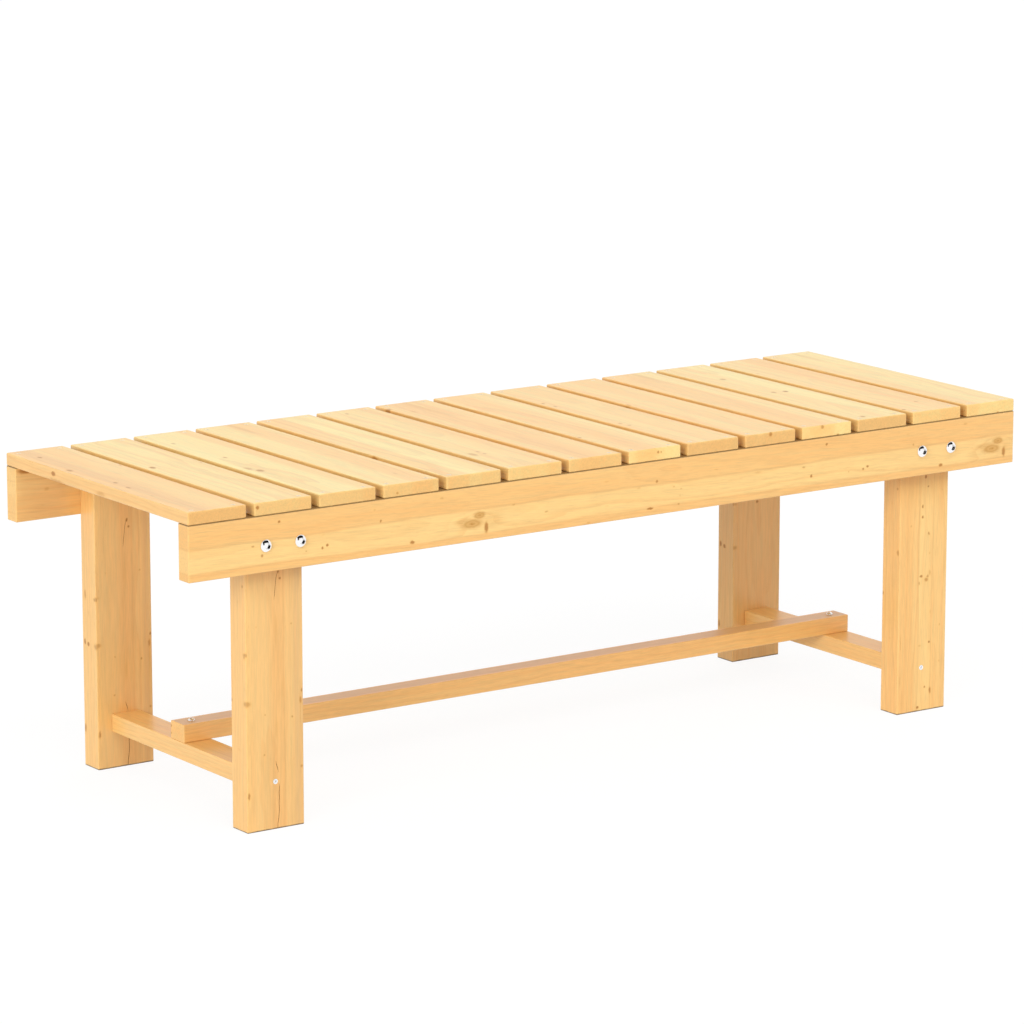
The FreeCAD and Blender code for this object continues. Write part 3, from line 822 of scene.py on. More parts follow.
def finish_board(board, blades, checks=None):
    """Makes a board's piece, cuts its holes and its drying checks, and puts it in its node's place."""
    wood = pine_material(board)
    piece = to_object(f"{board.node}_board", board_mesh(board), wood)
    for blade, material in [(blade, wood) for blade in blades] + ([(checks, shaded_check)] if checks else []):
        bmesh.ops.recalc_face_normals(blade, faces=blade.faces)
        cut(piece, to_object("blade", blade, material))
    smooth(piece, BOARD_SHARP_ANGLE)
    dress(piece, board.node)


# Marks seen on the seat: (x, y, length along the grain, width, depth)
SEAT_KNOTS = (
    (-533, 146, 12, 6, 0.45), (-542, 66, 15, 8, 0.45), (-534, -17, 10, 6, 0.45),
    (-536, -47, 12, 6, 0.4), (-537, -97, 8, 4, 0.25), (-484, 59, 8, 4, 0.3),
    (-462, 29, 12, 7, 0.65), (-405, 24, 7, 4, 0.3),
    (-376, 130, 10, 5, 0.35), (-370, 32, 11, 5, 0.4), (-381, -33, 20, 9, 0.35),
    (-376, -49, 16, 10, 0.45),
    (-267, -143, 12, 5, 0.25),
    (-127, 167, 9, 5, 0.4), (-142, -106, 24, 10, 0.35), (-129, -96, 10, 5, 0.35),
    (-129, -109, 9, 5, 0.35), (-129, 36, 10, 5, 0.2),
    (-58, 136, 20, 6, 0.25),
    (7, -95, 9, 4, 0.5),
    (90, 92, 10, 5, 0.4), (91, 70, 9, 5, 0.4), (92, -54, 9, 6, 0.3), (94, -68, 8, 6, 0.35),
    (165, 30, 12, 4, 0.4), (209, -93, 30, 3, 0.25),
    (269, -129, 8, 4, 0.2),
    (350, 97, 12, 9, 0.4), (348, -2, 12, 7, 0.4), (363, -5, 11, 7, 0.55), (340, -175, 11, 7, 0.45),
    (406, 103, 9, 4, 0.25), (446, -140, 9, 6, 0.35), (404, -170, 9, 5, 0.45),
    (-271, 161, 110, 12, 0.22), (-38, 150, 130, 12, 0.22), (284, 165, 100, 12, 0.22),
    (522, 160, 110, 12, 0.22),
)
SEAT_KNOT_GAIN = 1.3
# Marks on the slats' narrow left faces: (slat number, y, height above its middle, length, width, depth)
SLAT_SIDE_KNOTS = (
    (1, 87, 1, 10, 6, 0.95), (1, -13, -4, 24, 7, 0.4), (1, 80, -6, 44, 5, 0.5), (5, -52, 2, 16, 10, 0.8),
    (7, 163, 4, 12, 9, 0.95), (10, 30, 2, 20, 8, 0.7),
)
# Marks on the slats' front ends: (slat number, x, height above the slat's middle, size, depth)
SLAT_END_KNOTS = (
    (2, -467, 2, 5, 0.8), (4, -295, -3, 4, 0.5), (8, 44, 2, 4, 0.6), (8, 48, 2, 3, 0.5),
    (10, 198, 5, 6, 0.7), (11, 271, 5, 6, 0.55),
)

# Tone of each slat from left to right: warm share, darkness of its end grain, and streaks of
# (place across the slat, half width, softness, kind, amount)
SLAT_TONES = (
    # In slat 1, the smoky band at -36 darkens its left narrow face: painted shade
    (0.80, 0.85, ((-22, 10, 6, "Warm", 0.3), (-15, 6, 7, "Smoke and shade", 0.3), (-36, 2, 2, "Smoke and shade", 0.3))),
    (0.25, 0.65, ((27, 5, 8, "Warm", 0.35),)),
    (0.15, 0.7, ((-27, 6, 8, "Warm", -0.2), (27, 5, 8, "Warm", 0.5))),
    (0.35, 0.65, ((14, 10, 8, "Warm", 0.5),)),
    (0.30, 0.6, ((-20, 10, 6, "Warm", 0.35), (2, 5, 5, "Warm", -0.45))),
    (0.50, 0.4, ((-27, 5, 6, "Warm", -0.15), (27, 5, 8, "Warm", 0.2))),
    (0.75, 0.5, ((-8, 8, 8, "Warm", 0.35), (-12, 4, 8, "Smoke and shade", 0.1))),
    (0.60, 0.0, ((-12, 10, 8, "Warm", 0.35), (24, 7, 8, "Warm", -0.2))),
    (0.75, 0.8, ((-12, 4, 6, "Warm", -0.25), (27, 5, 8, "Warm", -0.1))),
    (0.80, 0.75, ((-14, 5, 6, "Warm", -0.2), (27, 5, 8, "Warm", -0.2))),
    (0.85, 0.0, ((22, 9, 8, "Warm", -0.45),)),
    (0.40, 0.85, ((20, 10, 8, "Warm", -0.35),)),
    (0.48, 0.35, ((20, 10, 8, "Warm", 0.35),)),
    (0.22, 0.2, ((-28, 6, 8, "Warm", 0.35), (-20, 4, 8, "Smoke and shade", 0.08))),
)

# Marks on the rails' front faces: (x, distance below the rail's top edge, length, width, depth)
RAIL_KNOTS = (
    (-441, 8.7, 4, 3.5, 0.75), (-473, 31, 5, 2.5, 0.5), (-462, 42, 4, 4, 0.6), (-316, 23.3, 3, 4, 0.6),
    (-323.5, 10.5, 4, 3, 0.3), (-388.4, 43, 3.5, 3.5, 0.75), (-382.4, 40.7, 4, 3.5, 0.75),
    (-408, 43.8, 3, 2, 0.45), (-387, 29, 6, 2, 0.2), (-276.4, 51, 7, 5, 0.75), (-239, 8, 7, 3.5, 0.35),
    (-147, 26.2, 6, 2, 0.4), (-104.5, 38.7, 6, 2.5, 0.45), (-49, 58, 7, 2.5, 0.35),
    (-25, 15.5, 9, 2.5, 0.25), (-201, 41, 4, 3, 0.5), (-182.3, 46.4, 6, 15, 0.72),
    (-182, 43.5, 2.5, 4, 0.7), (42.5, 23, 4, 4, 0.6), (123, 19, 8, 2, 0.3), (18, 28, 7, 2.5, 0.3),
    (33.3, 52.2, 10, 2.6, 0.95), (72, 51.6, 4, 3, 0.5), (65.5, 31.6, 4, 2.5, 0.35),
    (75.5, 35, 4, 2.5, 0.35), (74, 42.4, 2.5, 2.5, 0.3), (181, 29, 14, 2, 0.3), (245, 31, 6, 3, 0.45),
    (256, 42, 4, 4.5, 0.75), (277, 8.4, 4, 3.5, 0.7), (309, 43.5, 3, 2, 0.4),
    (329.5, 42.7, 3.5, 3.5, 0.65), (336, 40.2, 4.5, 3.5, 0.7), (402, 23, 3, 4, 0.45),
    (442.5, 51, 7, 4.5, 0.75), (394, 10, 6, 3, 0.2), (478, 7.3, 7, 3.5, 0.35), (518.5, 41, 4, 3, 0.45),
    (535.5, 46, 6, 14, 0.7), (535.7, 43, 2.5, 4, 0.6),
)
REAR_RAIL_KNOTS = ((-536, 4, 26, 8, 0.85), (-512, 27, 8, 5, 0.35))
# Stained eyes of two branches in the front rail: (x, distance below the top, length, width, stain)
RAIL_STAINS = (
    (-200.5, 40.5, 26, 10, 0.9), (-191, 32.4, 15, 8, 0.9), (-209, 37, 26, 7, 0.5), (-178, 38, 34, 18, 0.2),
    (517.5, 40.5, 26, 10, 0.9), (526.8, 32.4, 15, 8, 0.9), (509, 37, 26, 7, 0.5), (540, 38, 34, 18, 0.2),
)
RAIL_BANDS = ((17, 10, 6, "Warm", 0.3), (4, 0.3, 1.6, "Line", 0.2), (-9, 9, 6, "Warm", -0.5),
              (-28, 4, 3, "Warm", 0.35), (-22.5, 0.3, 1.2, "Line", 0.12))
REAR_RAIL_BANDS = ((0, 40, 1, "Smoke and shade", 0.2), (-20, 0.3, 1.5, "Line", 0.15), (14, 0.3, 1.5, "Line", 0.15),
                   (-14, 10, 8, "Warm", 0.25), (10, 7, 7, "Warm", -0.25))
# Each rail's warm share and marks, by the side it faces
RAIL_MARKS = {-1: (0.5, RAIL_KNOTS, RAIL_STAINS, RAIL_BANDS),
              1: (0.2, REAR_RAIL_KNOTS, (), REAR_RAIL_BANDS)}
RAIL_LEAN = 0.045
FRONT_RAIL_PITH = (0.004, 12, 42)

# Marks on the legs' front faces: (height, distance from the left edge, length, width, depth)
LEFT_LEG_KNOTS = (
    (191.5, 0.5, 6, 3, 0.6), (139, 0.5, 9, 3, 0.55), (40, 2.4, 10, 4, 0.6), (220, 13, 3, 2.5, 0.25),
    (125, 23, 3, 3, 0.4), (82, 21.6, 3, 3, 0.45), (268.4, 42.6, 3.5, 3.5, 0.75), (276, 40.4, 5, 3, 0.75),
    (218.6, 56, 3, 3, 0.4), (118.6, 56.2, 3.5, 3, 0.5), (135, 66.6, 11, 4, 0.55), (145.4, 68, 5, 3, 0.7),
    (125, 66.4, 58, 1.6, 0.35), (63.6, 67.2, 4, 4, 0.5), (109, 37, 26, 5, 0.2), (216, 37, 36, 5, 0.16),
    (151, 45, 30, 4, 0.16), (165, 30, 34, 3, 0.14),
)
RIGHT_LEG_KNOTS_AND_SHADE = (
    (274.6, 37, 6, 4.5, 0.8), (263, 40.8, 3.5, 3.5, 0.65), (240.4, 33.2, 5.5, 3.5, 0.7),
    (228, 33.2, 4.5, 3.5, 0.7), (219.4, 16.6, 3, 3, 0.35), (208, 42.8, 5.5, 3.5, 0.6),
    (185, 44.4, 4, 2.5, 0.3), (159, 32.4, 3.5, 5.5, 0.75), (154.4, 40, 6, 7, 0.55),
    (158, 42, 4.5, 4, 0.5), (162, 45, 9, 4, 0.35), (151, 29.6, 6, 3, 0.45), (116, 46.6, 6, 3, 0.25),
    (99, 61, 3.5, 3, 0.35), (80.4, 45.8, 3.5, 3.5, 0.75), (77.6, 31.6, 3, 6, 0.3),
    (56, 61, 3.5, 3, 0.3), (28, 40.4, 3.5, 3.5, 0.6), (23, 48.2, 10, 3.5, 0.65),
    (5, 30.2, 4.5, 4.5, 0.75), (257, 61, 3.5, 3, 0.35), (84, 3.2, 26, 1.6, 0.4),
    # The last mark below, 284 high, 90 long and 160 wide, is no knot but painted shade where the rail
    # shades the leg's top
    (40, 3.6, 18, 1.6, 0.35), (263, 17.2, 4, 3, 0.25), (284, 35, 90, 160, 0.3),
)
LEFT_LEG_BANDS = ((5, 6, 5, "Warm", 0.45), (31, 4, 5, "Smoke and shade", 0.35), (-22, 8, 8, "Warm", -0.15),
                  (11.5, 0.3, 1.2, "Line", 0.12), (20, 0.3, 1.2, "Line", 0.08), (1, 28, 5, "Smoke and shade", 0.2))
RIGHT_LEG_BANDS = ((-5.8, 0.3, 1.3, "Line", 0.2), (13, 0.3, 1.3, "Line", 0.18), (4, 7, 5, "Warm", -0.35),
                   (-24, 8, 8, "Warm", 0.15))
# Rear right leg: a smoky tone over the whole leg, painted shade for its place deep under the seat
PLAIN_SHADED_LEG_BANDS = ((0, 60, 1, "Smoke and shade", 0.35),)
PLAIN_LEG_KNOTS = ((192.6, 35, 5, 4, 0.75),)
# Marks on the legs' left faces: (height, distance from the front edge, length, width, depth)
FRONT_LEG_SIDE_KNOTS = ((264, 5.5, 4.5, 4, 0.5), (190, 3, 9, 5, 0.5), (246, 15, 5, 3.5, 0.2),
                        (88, 15, 4, 5, 0.2), (139, 29, 6, 4.5, 0.6))
LEFT_LEG_SIDE_KNOTS = FRONT_LEG_SIDE_KNOTS + ((139, 0, 8, 3, 0.5),)
REAR_LEG_SIDE_KNOTS = ((194, 23, 14, 4.5, 0.5), (139, 17.5, 6, 5.5, 0.85), (141, 25, 8, 4, 0.85),
                       (140, 0, 7, 3, 0.5), (43, 27, 12, 4.5, 0.65), (193, 1, 5, 3.5, 0.5))
# Each leg's marks, by its end of the bench and the side it faces
LEG_MARKS = {(-1, -1): (LEFT_LEG_KNOTS, LEFT_LEG_BANDS, LEFT_LEG_SIDE_KNOTS),
             (1, -1): (RIGHT_LEG_KNOTS_AND_SHADE, RIGHT_LEG_BANDS, FRONT_LEG_SIDE_KNOTS),
             (-1, 1): (LEFT_LEG_KNOTS, LEFT_LEG_BANDS, REAR_LEG_SIDE_KNOTS),
             (1, 1): (PLAIN_LEG_KNOTS, PLAIN_SHADED_LEG_BANDS, REAR_LEG_SIDE_KNOTS)}
LEG_PITH_LEAN = 0.004
LEG_PITH_ACROSS = 14
LEG_PITH_DEPTH = 48
# Drying checks in the left legs' front faces: width, and a line of (height, distance from the left edge)
LEFT_LEG_CHECKS = (
    (0.3, ((277, 40.4), (272, 38.6), (267, 37.5), (262, 37.1), (256, 36.3), (251, 35.8), (246, 35.2))),
    (0.36, ((74, 35.4), (70, 36.2), (66, 37.5), (61, 38.6))),
    (0.48, ((50, 38.9), (45, 39.5), (39, 39.2), (34, 39.4), (28, 39), (20, 39.2), (12, 38.5), (6, 37.4),
            (-4, 37))),
)

CROSS_STRETCHER_WARM = 0.4
# Tone of the centre stretcher, and knots in its left end: (y, height above its middle, size, depth)
# Its high warm share and its smoky band along the middle darken it: painted shade under the seat
BEAM_WARM_AND_SHADE = 0.8
BEAM_TOP_SHADE = (0, 9, 4, "Smoke and shade", 0.85)
BEAM_END_KNOTS = ((13, -4, 4, 0.7), (13, 4, 4, 0.7))


def middle_of(node, axis):
    low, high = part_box(node)
    return (low[axis] + high[axis]) / 2 / MM


def slat_screw_points(board):
    rail_y = middle_of("rear_rail", Y)
    return [(board.centre[Y] + side * SLAT_SCREW_SPACING / 2, end * rail_y)
            for side in (-1, 1) for end in (-1, 1)]


def leg_middles():
    middle = middle_of("front_right_leg", X)
    return (-middle, middle)


def bolt_points():
    return [(x + side * BOLT_SPACING / 2, BOLT_HEIGHT) for x in leg_middles() for side in (-1, 1)]


def stretcher_middle():
    return middle_of("left_cross_stretcher", Z)


def slat_board(number):
    return Board(f"slat_{number:02d}", Y, X)


def dress_slat(number):
    board = slat_board(number)
    board.palette = (LIT_SLAT_PALE, LIT_SLAT_WARM)
    board.warm, board.end, board.bands = SLAT_TONES[number - 1]
    # Painted shade on each narrow side that faces a neighbouring slat
    board.shaded_sides = [side for side in (-1, 1) if 1 <= number + side <= len(SLAT_TONES)]
    middle = board.centre[Y]
    for x, y, length, width, depth in SEAT_KNOTS:
        if abs(x - middle) <= board.half[Y]:
            board.face_knot(1, y, x - middle, length, width, min(1, SEAT_KNOT_GAIN * depth))
    for slat, *mark in SLAT_SIDE_KNOTS:
        if slat == number:
            board.side_knot(-1, *mark)
    for slat, x, height, size, depth in SLAT_END_KNOTS:
        if slat == number:
            board.knot((-board.half[X], x - middle, height), (size, size, size), depth)
    board.chance_face = -1
    cutters = bmesh.new()
    for point in slat_screw_points(board):
        screw_seat(cutters, (*point, board.face(1)), UP, THROUGH_SHARE * board.half[Z])
    finish_board(board, [cutters])


def dress_rail(node, facing):
    board = Board(node, X, Z)
    board.lean = RAIL_LEAN
    # Painted shade along the rail's top, under the slats
    board.shaded_top = True
    if facing < 0:
        board.pith = FRONT_RAIL_PITH
    board.warm, knots, stains, board.bands = RAIL_MARKS[facing]
    for x, below, length, width, depth in knots:
        board.face_knot(-1, x, board.half[Y] - below, length, width, depth)
    for x, below, length, width, stain in stains:
        board.stain((x, board.half[Y] - below, -board.half[Z]), (length, width, KNOT_REACH), stain)
    cutters = bmesh.new()
    outside = board.face(facing)
    radius, depth = BOLT.shank / 2 + BOLT.clearance, THROUGH_SHARE * board.half[Z]
    for x, z in bolt_points():
        round_hole(cutters, (x, outside, z), (0, facing, 0), radius, depth)
    finish_board(board, [cutters])


def leg_cutters(board, facing):
    """Cutters for a leg's bolt holes and screw seat, and for the seats of its insert nuts."""
    holes, seats = bmesh.new(), bmesh.new()
    middle = board.centre[Y]
    outside, inside = board.face(facing), board.face(-facing)
    depth = THROUGH_SHARE * board.half[Z]
    for x, z in bolt_points():
        if abs(x - middle) < board.half[Y]:
            round_hole(holes, (x, outside, z), (0, facing, 0), BOLT.shank / 2 + BOLT.clearance, depth)
            round_hole(seats, (x, inside, z), (0, -facing, 0), INSERT.outside / 2 + INSERT.clearance,
                       INSERT.length)
    screw_seat(holes, (middle, outside, stretcher_middle()), (0, facing, 0), depth)
    return holes, seats


def leg_checks(board):
    """Cutters for the drying checks in a left leg's front face."""
    checks = bmesh.new()
    for width, line in LEFT_LEG_CHECKS:
        points = [(height - board.half[X], across - board.half[Y]) for height, across in line]
        groove(checks, board, points, width, -1)
    return checks


def dress_leg(node, end, facing):
    board = Board(node, Z, X)
    # Painted contact shade at the leg's foot
    board.on_floor = True
    board.pith = (LEG_PITH_LEAN, LEG_PITH_ACROSS * end, LEG_PITH_DEPTH)
    knots, board.bands, side_knots = LEG_MARKS[end, facing]
    for height, from_left, *mark in knots:
        board.face_knot(-1, height - board.half[X], from_left - board.half[Y], *mark)
    for height, from_front, *mark in side_knots:
        board.side_knot(-1, height - board.half[X], from_front - board.half[Z], *mark)
    finish_board(board, leg_cutters(board, facing), leg_checks(board) if end < 0 else None)


def dress_stretcher(board, hole_points, hole_depth):
    """A stretcher with holes for the screws that come in through its top."""
    board.chance_face = -1
    cutters = bmesh.new()
    for point in hole_points:
        round_hole(cutters, (*point, board.face(1)), UP, BEAM_SCREW.shank / 2 + SHANK_CLEARANCE, hole_depth)
    finish_board(board, [cutters])


def dress_cross_stretcher(node):
    board = Board(node, Y, X)
    board.warm = CROSS_STRETCHER_WARM
    dress_stretcher(board, [(board.centre[Y], board.centre[X])], BEAM_SCREW_BITE)


def dress_centre_stretcher():
    board = Board("centre_stretcher", X, Y)
    board.warm = BEAM_WARM_AND_SHADE
    board.bands = (BEAM_TOP_SHADE,)
    board.end = 0.0
    for y, height, size, depth in BEAM_END_KNOTS:
        board.knot((-board.half[X], y, height), (size, size, size), depth)
    dress_stretcher(board, [(x, 0) for x in leg_middles()], THROUGH_SHARE * board.half[Z])


def dome(radius, rim, height, steps):
    """Half outline of a domed head, from its middle out and down to its rim."""
    rise = height - rim
    sphere = (radius ** 2 + rise ** 2) / (2 * rise)
    points = []
    for number in range(steps + 1):
        across = radius * number / steps
        points.append((across, height - sphere + math.sqrt(sphere ** 2 - across ** 2)))
    return points


def bolt_pattern():
    """Button-head bolt with a hex socket and a rolled thread, its head's underside at the origin."""
    head, shank, top = BOLT.head / 2, BOLT.shank / 2, BOLT.height
    core = shank - BOLT.ridge
    thread_start, thread_end = BOLT.threaded - BOLT.length, BOLT.point - BOLT.length
    profile = dome(head, BOLT.rim, top, BOLT.dome_steps)
    profile += [(head, BOLT.edge), (head - BOLT.edge, 0), (shank + BOLT.neck / 2, 0), (shank, -BOLT.neck),
                (shank, thread_start + BOLT.run_out)]
    profile += threaded_profile(core, thread_start, thread_end, BOLT.pitch)
    profile += [(core - BOLT.ridge, -BOLT.length), (0, -BOLT.length)]
    mesh = bmesh.new()
    lathe(mesh, profile, BOLT.segments,
          (thread_end + BOLT.fade, thread_start - BOLT.fade, BOLT.pitch, BOLT.ridge))
    bolt = to_object("bolt_pattern", mesh, chrome)
    corner = BOLT.socket / math.sqrt(3)
    angles = [FULL_TURN * number / SOCKET_SIDES for number in range(SOCKET_SIDES)]
    socket = bmesh.new()
    prism(socket, [(corner * math.cos(angle), corner * math.sin(angle)) for angle in angles],
          top - BOLT.socket_depth, top + OVERRUN, wall_material=1)
    cut(bolt, to_object("socket", socket, chrome, socket_steel))
    rise, depth, flare = BOLT.mouth_rise, BOLT.mouth_depth, corner + BOLT.flare
    mouth = bmesh.new()
    lathe(mouth, [(0, top + rise), (flare + rise, top + rise),
                  (flare - depth, top - depth), (0, top - depth)], BOLT.segments)
    cut(bolt, to_object("mouth", mouth, chrome))
    return bolt


def cross_recess(screw, span, top, material):
    """Cuts a cross recess with sloping arms into a screw's head."""
    reach, side, depth = span / 2 * RECESS.floor, RECESS.width * span * RECESS.floor, RECESS.depth * span
    outline = []
    for turn in range(RECESS_ARMS):
        cosine, sine = math.cos(QUARTER_TURN * turn), math.sin(QUARTER_TURN * turn)
        for along, across in ((side, -side), (reach, -side), (reach, side)):
            outline.append((along * cosine - across * sine, along * sine + across * cosine))
    blade = bmesh.new()
    prism(blade, outline, top - depth, top + depth, RECESS.mouth / RECESS.floor)
    cut(screw, to_object("recess", blade, material))


def pointed_screw(name, sizes, head, start, ridge_start, length, finish):
    """Screw with a turned head, and a thread that runs out into a point."""
    core = sizes.shank / 2 - sizes.ridge
    profile = head + threaded_profile(core, start, SCREW_END.taper - length, sizes.pitch)
    profile += [(core / 2, SCREW_END.point - length), (SCREW_END.tip, -length), (0, -length)]
    mesh = bmesh.new()
    lathe(mesh, profile, sizes.segments, (SCREW_END.fade - length, ridge_start, sizes.pitch, sizes.ridge))
    return to_object(name, mesh, finish)


def wood_screw_pattern(length, finish):
    """Countersunk wood screw with a cross recess, its head's top at the origin."""
    size = WOOD_SCREW
    head, neck = size.head / 2, (size.shank - size.head) / 2
    profile = [(0, 0), (head - size.edge, 0), (head, -size.edge), (head, -size.rim),
               (size.shank / 2 - size.ridge, neck - size.neck)]
    screw = pointed_screw("wood_screw_pattern", size, profile, neck - 2 * size.neck,
                          neck - size.ridge_start, length, finish)
    cross_recess(screw, size.recess, 0, finish)
    return screw


def beam_screw_pattern():
    """Pan-head wood screw with a cross recess, its head's underside at the origin."""
    size = BEAM_SCREW
    head, core = size.head / 2, size.shank / 2 - size.ridge
    profile = dome(head, size.rim, size.height, size.dome_steps)
    profile += [(head, size.edge), (head - size.edge, 0), (core + size.neck, 0), (core, -size.neck_depth)]
    screw = pointed_screw("beam_screw_pattern", size, profile, -size.thread_start, -size.ridge_start,
                          size.length, bright_zinc)
    cross_recess(screw, size.recess, size.height, bright_zinc)
    return screw


def insert_pattern():
    """Threaded insert nut with a coarse outer thread and two driving slots, its mouth at the origin."""
    size = INSERT
    bore, outside = BOLT.shank / 2 + size.clearance, size.outside / 2
    mouth = (bore + size.edge, 0)
    profile = [mouth, (outside - size.edge, 0), (outside, -size.edge), (outside, -size.collar)]
    profile += threaded_profile(outside - size.ridge, -size.thread_start, size.thread_end - size.length,
                                size.pitch)
    profile += [(outside - size.taper, -size.length), (bore, -size.length), (bore, -size.edge), mouth]
    mesh = bmesh.new()
    lathe(mesh, profile, HOLE_SEGMENTS,
          (size.ridge_end - size.length, -size.ridge_start, size.pitch, size.ridge))
    insert = to_object("insert_pattern", mesh, dull_zinc)
    slot = bmesh.new()
    wide, long = size.slot / 2, outside + size.overrun
    prism(slot, [(-long, -wide), (long, -wide), (long, wide), (-long, wide)], -size.slot, OVERRUN)
    cut(insert, to_object("slot", slot, dull_zinc))
    return insert


def dress_fasteners(node, pattern, places, largest_turn=FULL_TURN):
    """One piece with a copy of a fastener at each place, each turned a little differently."""
    dice = random.Random(node)
    turned = [(point, direction, dice.uniform(0, largest_turn)) for point, direction in places]
    mesh = bmesh.new()
    add_copies(mesh, pattern.data, turned)
    piece = to_object(f"{node}_steel", mesh, *pattern.data.materials)
    smooth(piece, STEEL_SHARP_ANGLE)
    dress(piece, node)


def dress_all_fasteners():
    seat_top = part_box("slat_01")[1][Z] / MM - HEAD_SINK
    rail_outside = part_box("rear_rail")[1][Y] / MM
    leg_inside, leg_outside = (corner[Y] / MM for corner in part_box("rear_left_leg"))
    beam_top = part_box("centre_stretcher")[1][Z] / MM
    slats = [slat_board(number) for number in range(1, len(SLAT_TONES) + 1)]
    slat_points = [point for slat in slats for point in slat_screw_points(slat)]
    bolt, insert = bolt_pattern(), insert_pattern()
    slat_screw = wood_screw_pattern(SLAT_SCREW_LENGTH, yellow_zinc)
    leg_screw = wood_screw_pattern(LEG_SCREW_LENGTH, bright_zinc)
    beam_screw = beam_screw_pattern()
    for name, facing in SIDES.items():
        outward, inward = (0, facing, 0), (0, -facing, 0)
        bolts = [((x, facing * rail_outside, z), outward) for x, z in bolt_points()]
        dress_fasteners(f"{name}_rail_bolts", bolt, bolts, LARGEST_BOLT_TURN)
        inserts = [((x, facing * leg_inside, z), inward) for x, z in bolt_points()]
        dress_fasteners(f"{name}_insert_nuts", insert, inserts)
        screws = [((*point, seat_top), UP) for point in slat_points if point[1] * facing > 0]
        dress_fasteners(f"{name}_slat_screws", slat_screw, screws)
        head_y = facing * (leg_outside - HEAD_SINK)
        screws = [((x, head_y, stretcher_middle()), outward) for x in leg_middles()]
        dress_fasteners(f"{name}_leg_screws", leg_screw, screws)
    screws = [((x, 0, beam_top), UP) for x in leg_middles()]
    dress_fasteners("centre_stretcher_screws", beam_screw, screws)
    for pattern in (bolt, insert, slat_screw, leg_screw, beam_screw):
        data = pattern.data
        bpy.data.objects.remove(pattern)
        bpy.data.meshes.remove(data)


# Light: a pale world, three soft lamps, and a floor that shows white to the camera and keeps a faint shadow
WORLD_LIGHT = 0.60
LAMP_DISTANCE = 18000
LAMP_TARGET = (0, 0, 200)
# Each lamp: the side it stands on, its height above the horizon, its width and its power
LAMPS = {"front_lamp": (-10, 48, 12000, 1150), "left_lamp": (-62, 18, 8000, 1450),
         "rear_lamp": (135, 30, 9000, 450)}
# Dark cards, seen only in reflections: side, height above the horizon, width and height of each
FLAGS = {"upper_flag": (0, 55, 7000, 2600), "camera_flag": (-37, 29, 1200, 2700)}
FLAG_DISTANCE = 4000
FLAG_COLOUR = (0.01, 0.01, 0.01, 1)
FLOOR_SIZE = 60000
FLOOR_WHITE_SHARE = 0.9
FLOOR_SHADOW_COLOUR = (0.12, 0.12, 0.12, 1)
FLOOR_COLOUR = (0.75, 0.75, 0.75, 1)


def seen_directly(tree):
    """1 for rays from the camera or by way of a mirror or glass, 0 for light that falls on the bench."""
    path = tree.add("ShaderNodeLightPath").outputs
    seen = tree.math("MAXIMUM", path["Is Camera Ray"], path["Is Glossy Ray"])
    return tree.math("MAXIMUM", seen, path["Is Transmission Ray"])


def make_world():
    world = bpy.data.worlds.new("pale_studio")
    world.use_nodes = True
    tree = Tree(world.node_tree)
    background = tree.tree.nodes["Background"]
    background.inputs["Color"].default_value = WHITE
    strength = tree.math("MULTIPLY_ADD", seen_directly(tree), 1 - WORLD_LIGHT, WORLD_LIGHT)
    tree.feed(background.inputs["Strength"], strength)
    bpy.context.scene.world = world


def make_floor():
    mesh = bmesh.new()
    bmesh.ops.create_grid(mesh, x_segments=1, y_segments=1, size=FLOOR_SIZE / 2 * MM)
    material, tree, surface = new_material("studio_floor")
    tree.tree.nodes.remove(surface)
    white = tree.add("ShaderNodeEmission", {"Color": WHITE, "Strength": FLOOR_WHITE_SHARE}).outputs[0]
    faint = tree.add("ShaderNodeBsdfDiffuse", {"Color": FLOOR_SHADOW_COLOUR}).outputs[0]
    seen = tree.add("ShaderNodeAddShader")
    tree.feed_all(seen.inputs, (white, faint))
    plain = tree.add("ShaderNodeBsdfDiffuse", {"Color": FLOOR_COLOUR}).outputs[0]
    choice = tree.add("ShaderNodeMixShader")
    tree.feed_all(choice.inputs, (seen_directly(tree), plain, seen.outputs[0]))
    tree.feed(tree.tree.nodes["Material Output"].inputs["Surface"], choice.outputs[0])
    to_object("studio_floor", mesh, material)


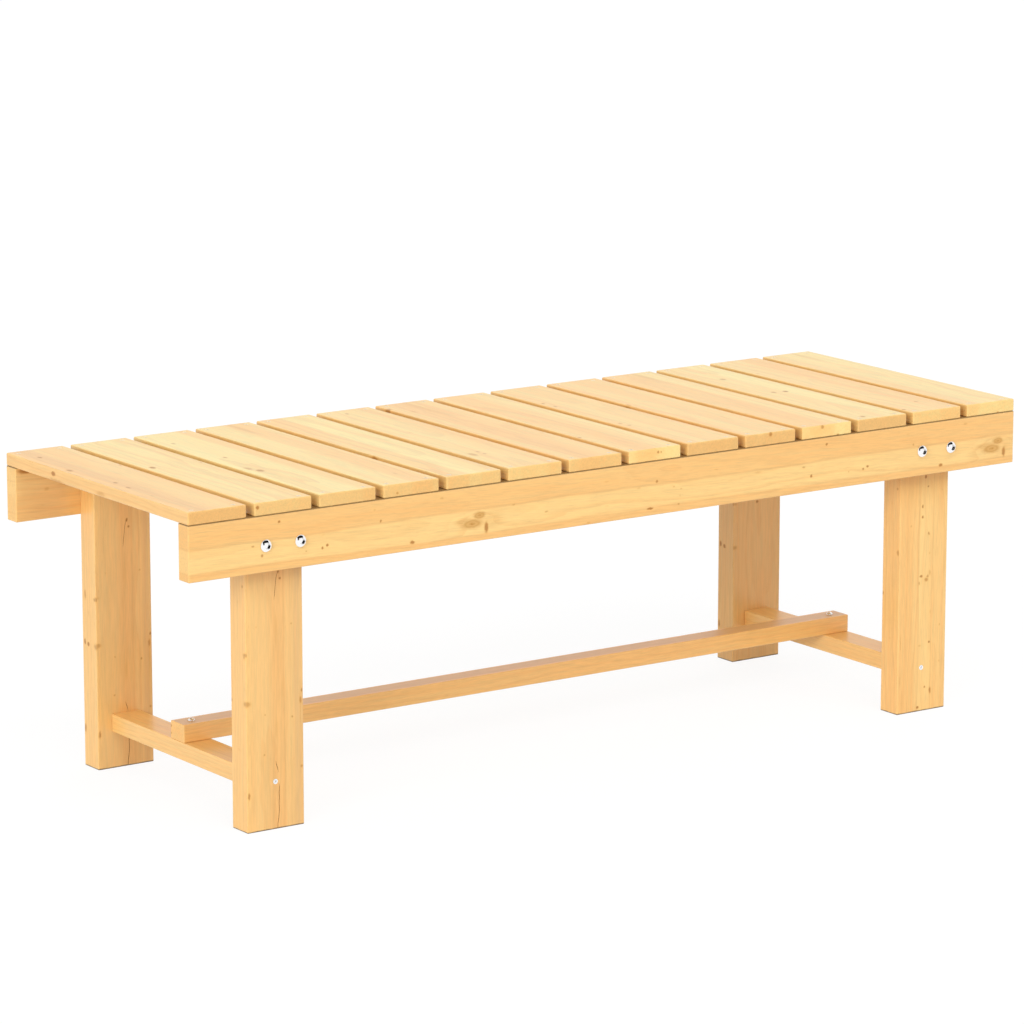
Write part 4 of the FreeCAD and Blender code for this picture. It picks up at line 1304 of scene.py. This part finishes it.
def place_facing(thing, azimuth, elevation, distance, target):
    """Puts something on a side of the bench and above the horizon, turned towards a point."""
    side, height = math.radians(azimuth), math.radians(elevation)
    flat = math.cos(height)
    direction = Vector((math.sin(side) * flat, -math.cos(side) * flat, math.sin(height)))
    thing.location = (Vector(target) + direction * distance) * MM
    thing.rotation_euler = direction.to_track_quat("Z", "Y").to_euler()


def make_lamp(name, azimuth, elevation, size, power):
    light = bpy.data.lights.new(name, "AREA")
    light.energy = power
    light.size = size * MM
    lamp = bpy.data.objects.new(name, light)
    place_facing(lamp, azimuth, elevation, LAMP_DISTANCE, LAMP_TARGET)
    lamp.visible_camera = False
    lamp.visible_glossy = False
    bpy.context.scene.collection.objects.link(lamp)


def make_flag(name, azimuth, elevation, width, height):
    mesh = bmesh.new()
    bmesh.ops.create_grid(mesh, x_segments=1, y_segments=1, size=0.5 * MM)
    bmesh.ops.scale(mesh, vec=(width, height, 1), verts=mesh.verts)
    material, _, surface = new_material(name)
    surface.inputs["Base Color"].default_value = FLAG_COLOUR
    surface.inputs["Roughness"].default_value = 1.0
    flag = to_object(name, mesh, material)
    place_facing(flag, azimuth, elevation, FLAG_DISTANCE, LAMP_TARGET)
    for kind in ("camera", "diffuse", "transmission", "volume_scatter", "shadow"):
        setattr(flag, f"visible_{kind}", False)


def make_camera():
    data = bpy.data.cameras.new("camera")
    data.lens = LENS
    data.sensor_width = SENSOR
    camera = bpy.data.objects.new("camera", data)
    place_facing(camera, VIEW_AZIMUTH, VIEW_ELEVATION, VIEW_DISTANCE, VIEW_TARGET)
    bpy.context.scene.collection.objects.link(camera)
    bpy.context.scene.camera = camera


for slat_number in range(1, len(SLAT_TONES) + 1):
    dress_slat(slat_number)
for side_name, side_facing in SIDES.items():
    dress_rail(f"{side_name}_rail", side_facing)
for side_name, side_facing in SIDES.items():
    for end_name, bench_end in ENDS.items():
        dress_leg(f"{side_name}_{end_name}_leg", bench_end, side_facing)
for end_name in ENDS:
    dress_cross_stretcher(f"{end_name}_cross_stretcher")
dress_centre_stretcher()
dress_all_fasteners()

make_world()
make_floor()
for lamp_name, lamp_values in LAMPS.items():
    make_lamp(lamp_name, *lamp_values)
for flag_name, flag_values in FLAGS.items():
    make_flag(flag_name, *flag_values)
make_camera()
bpy.context.scene.view_settings.view_transform = "Standard"
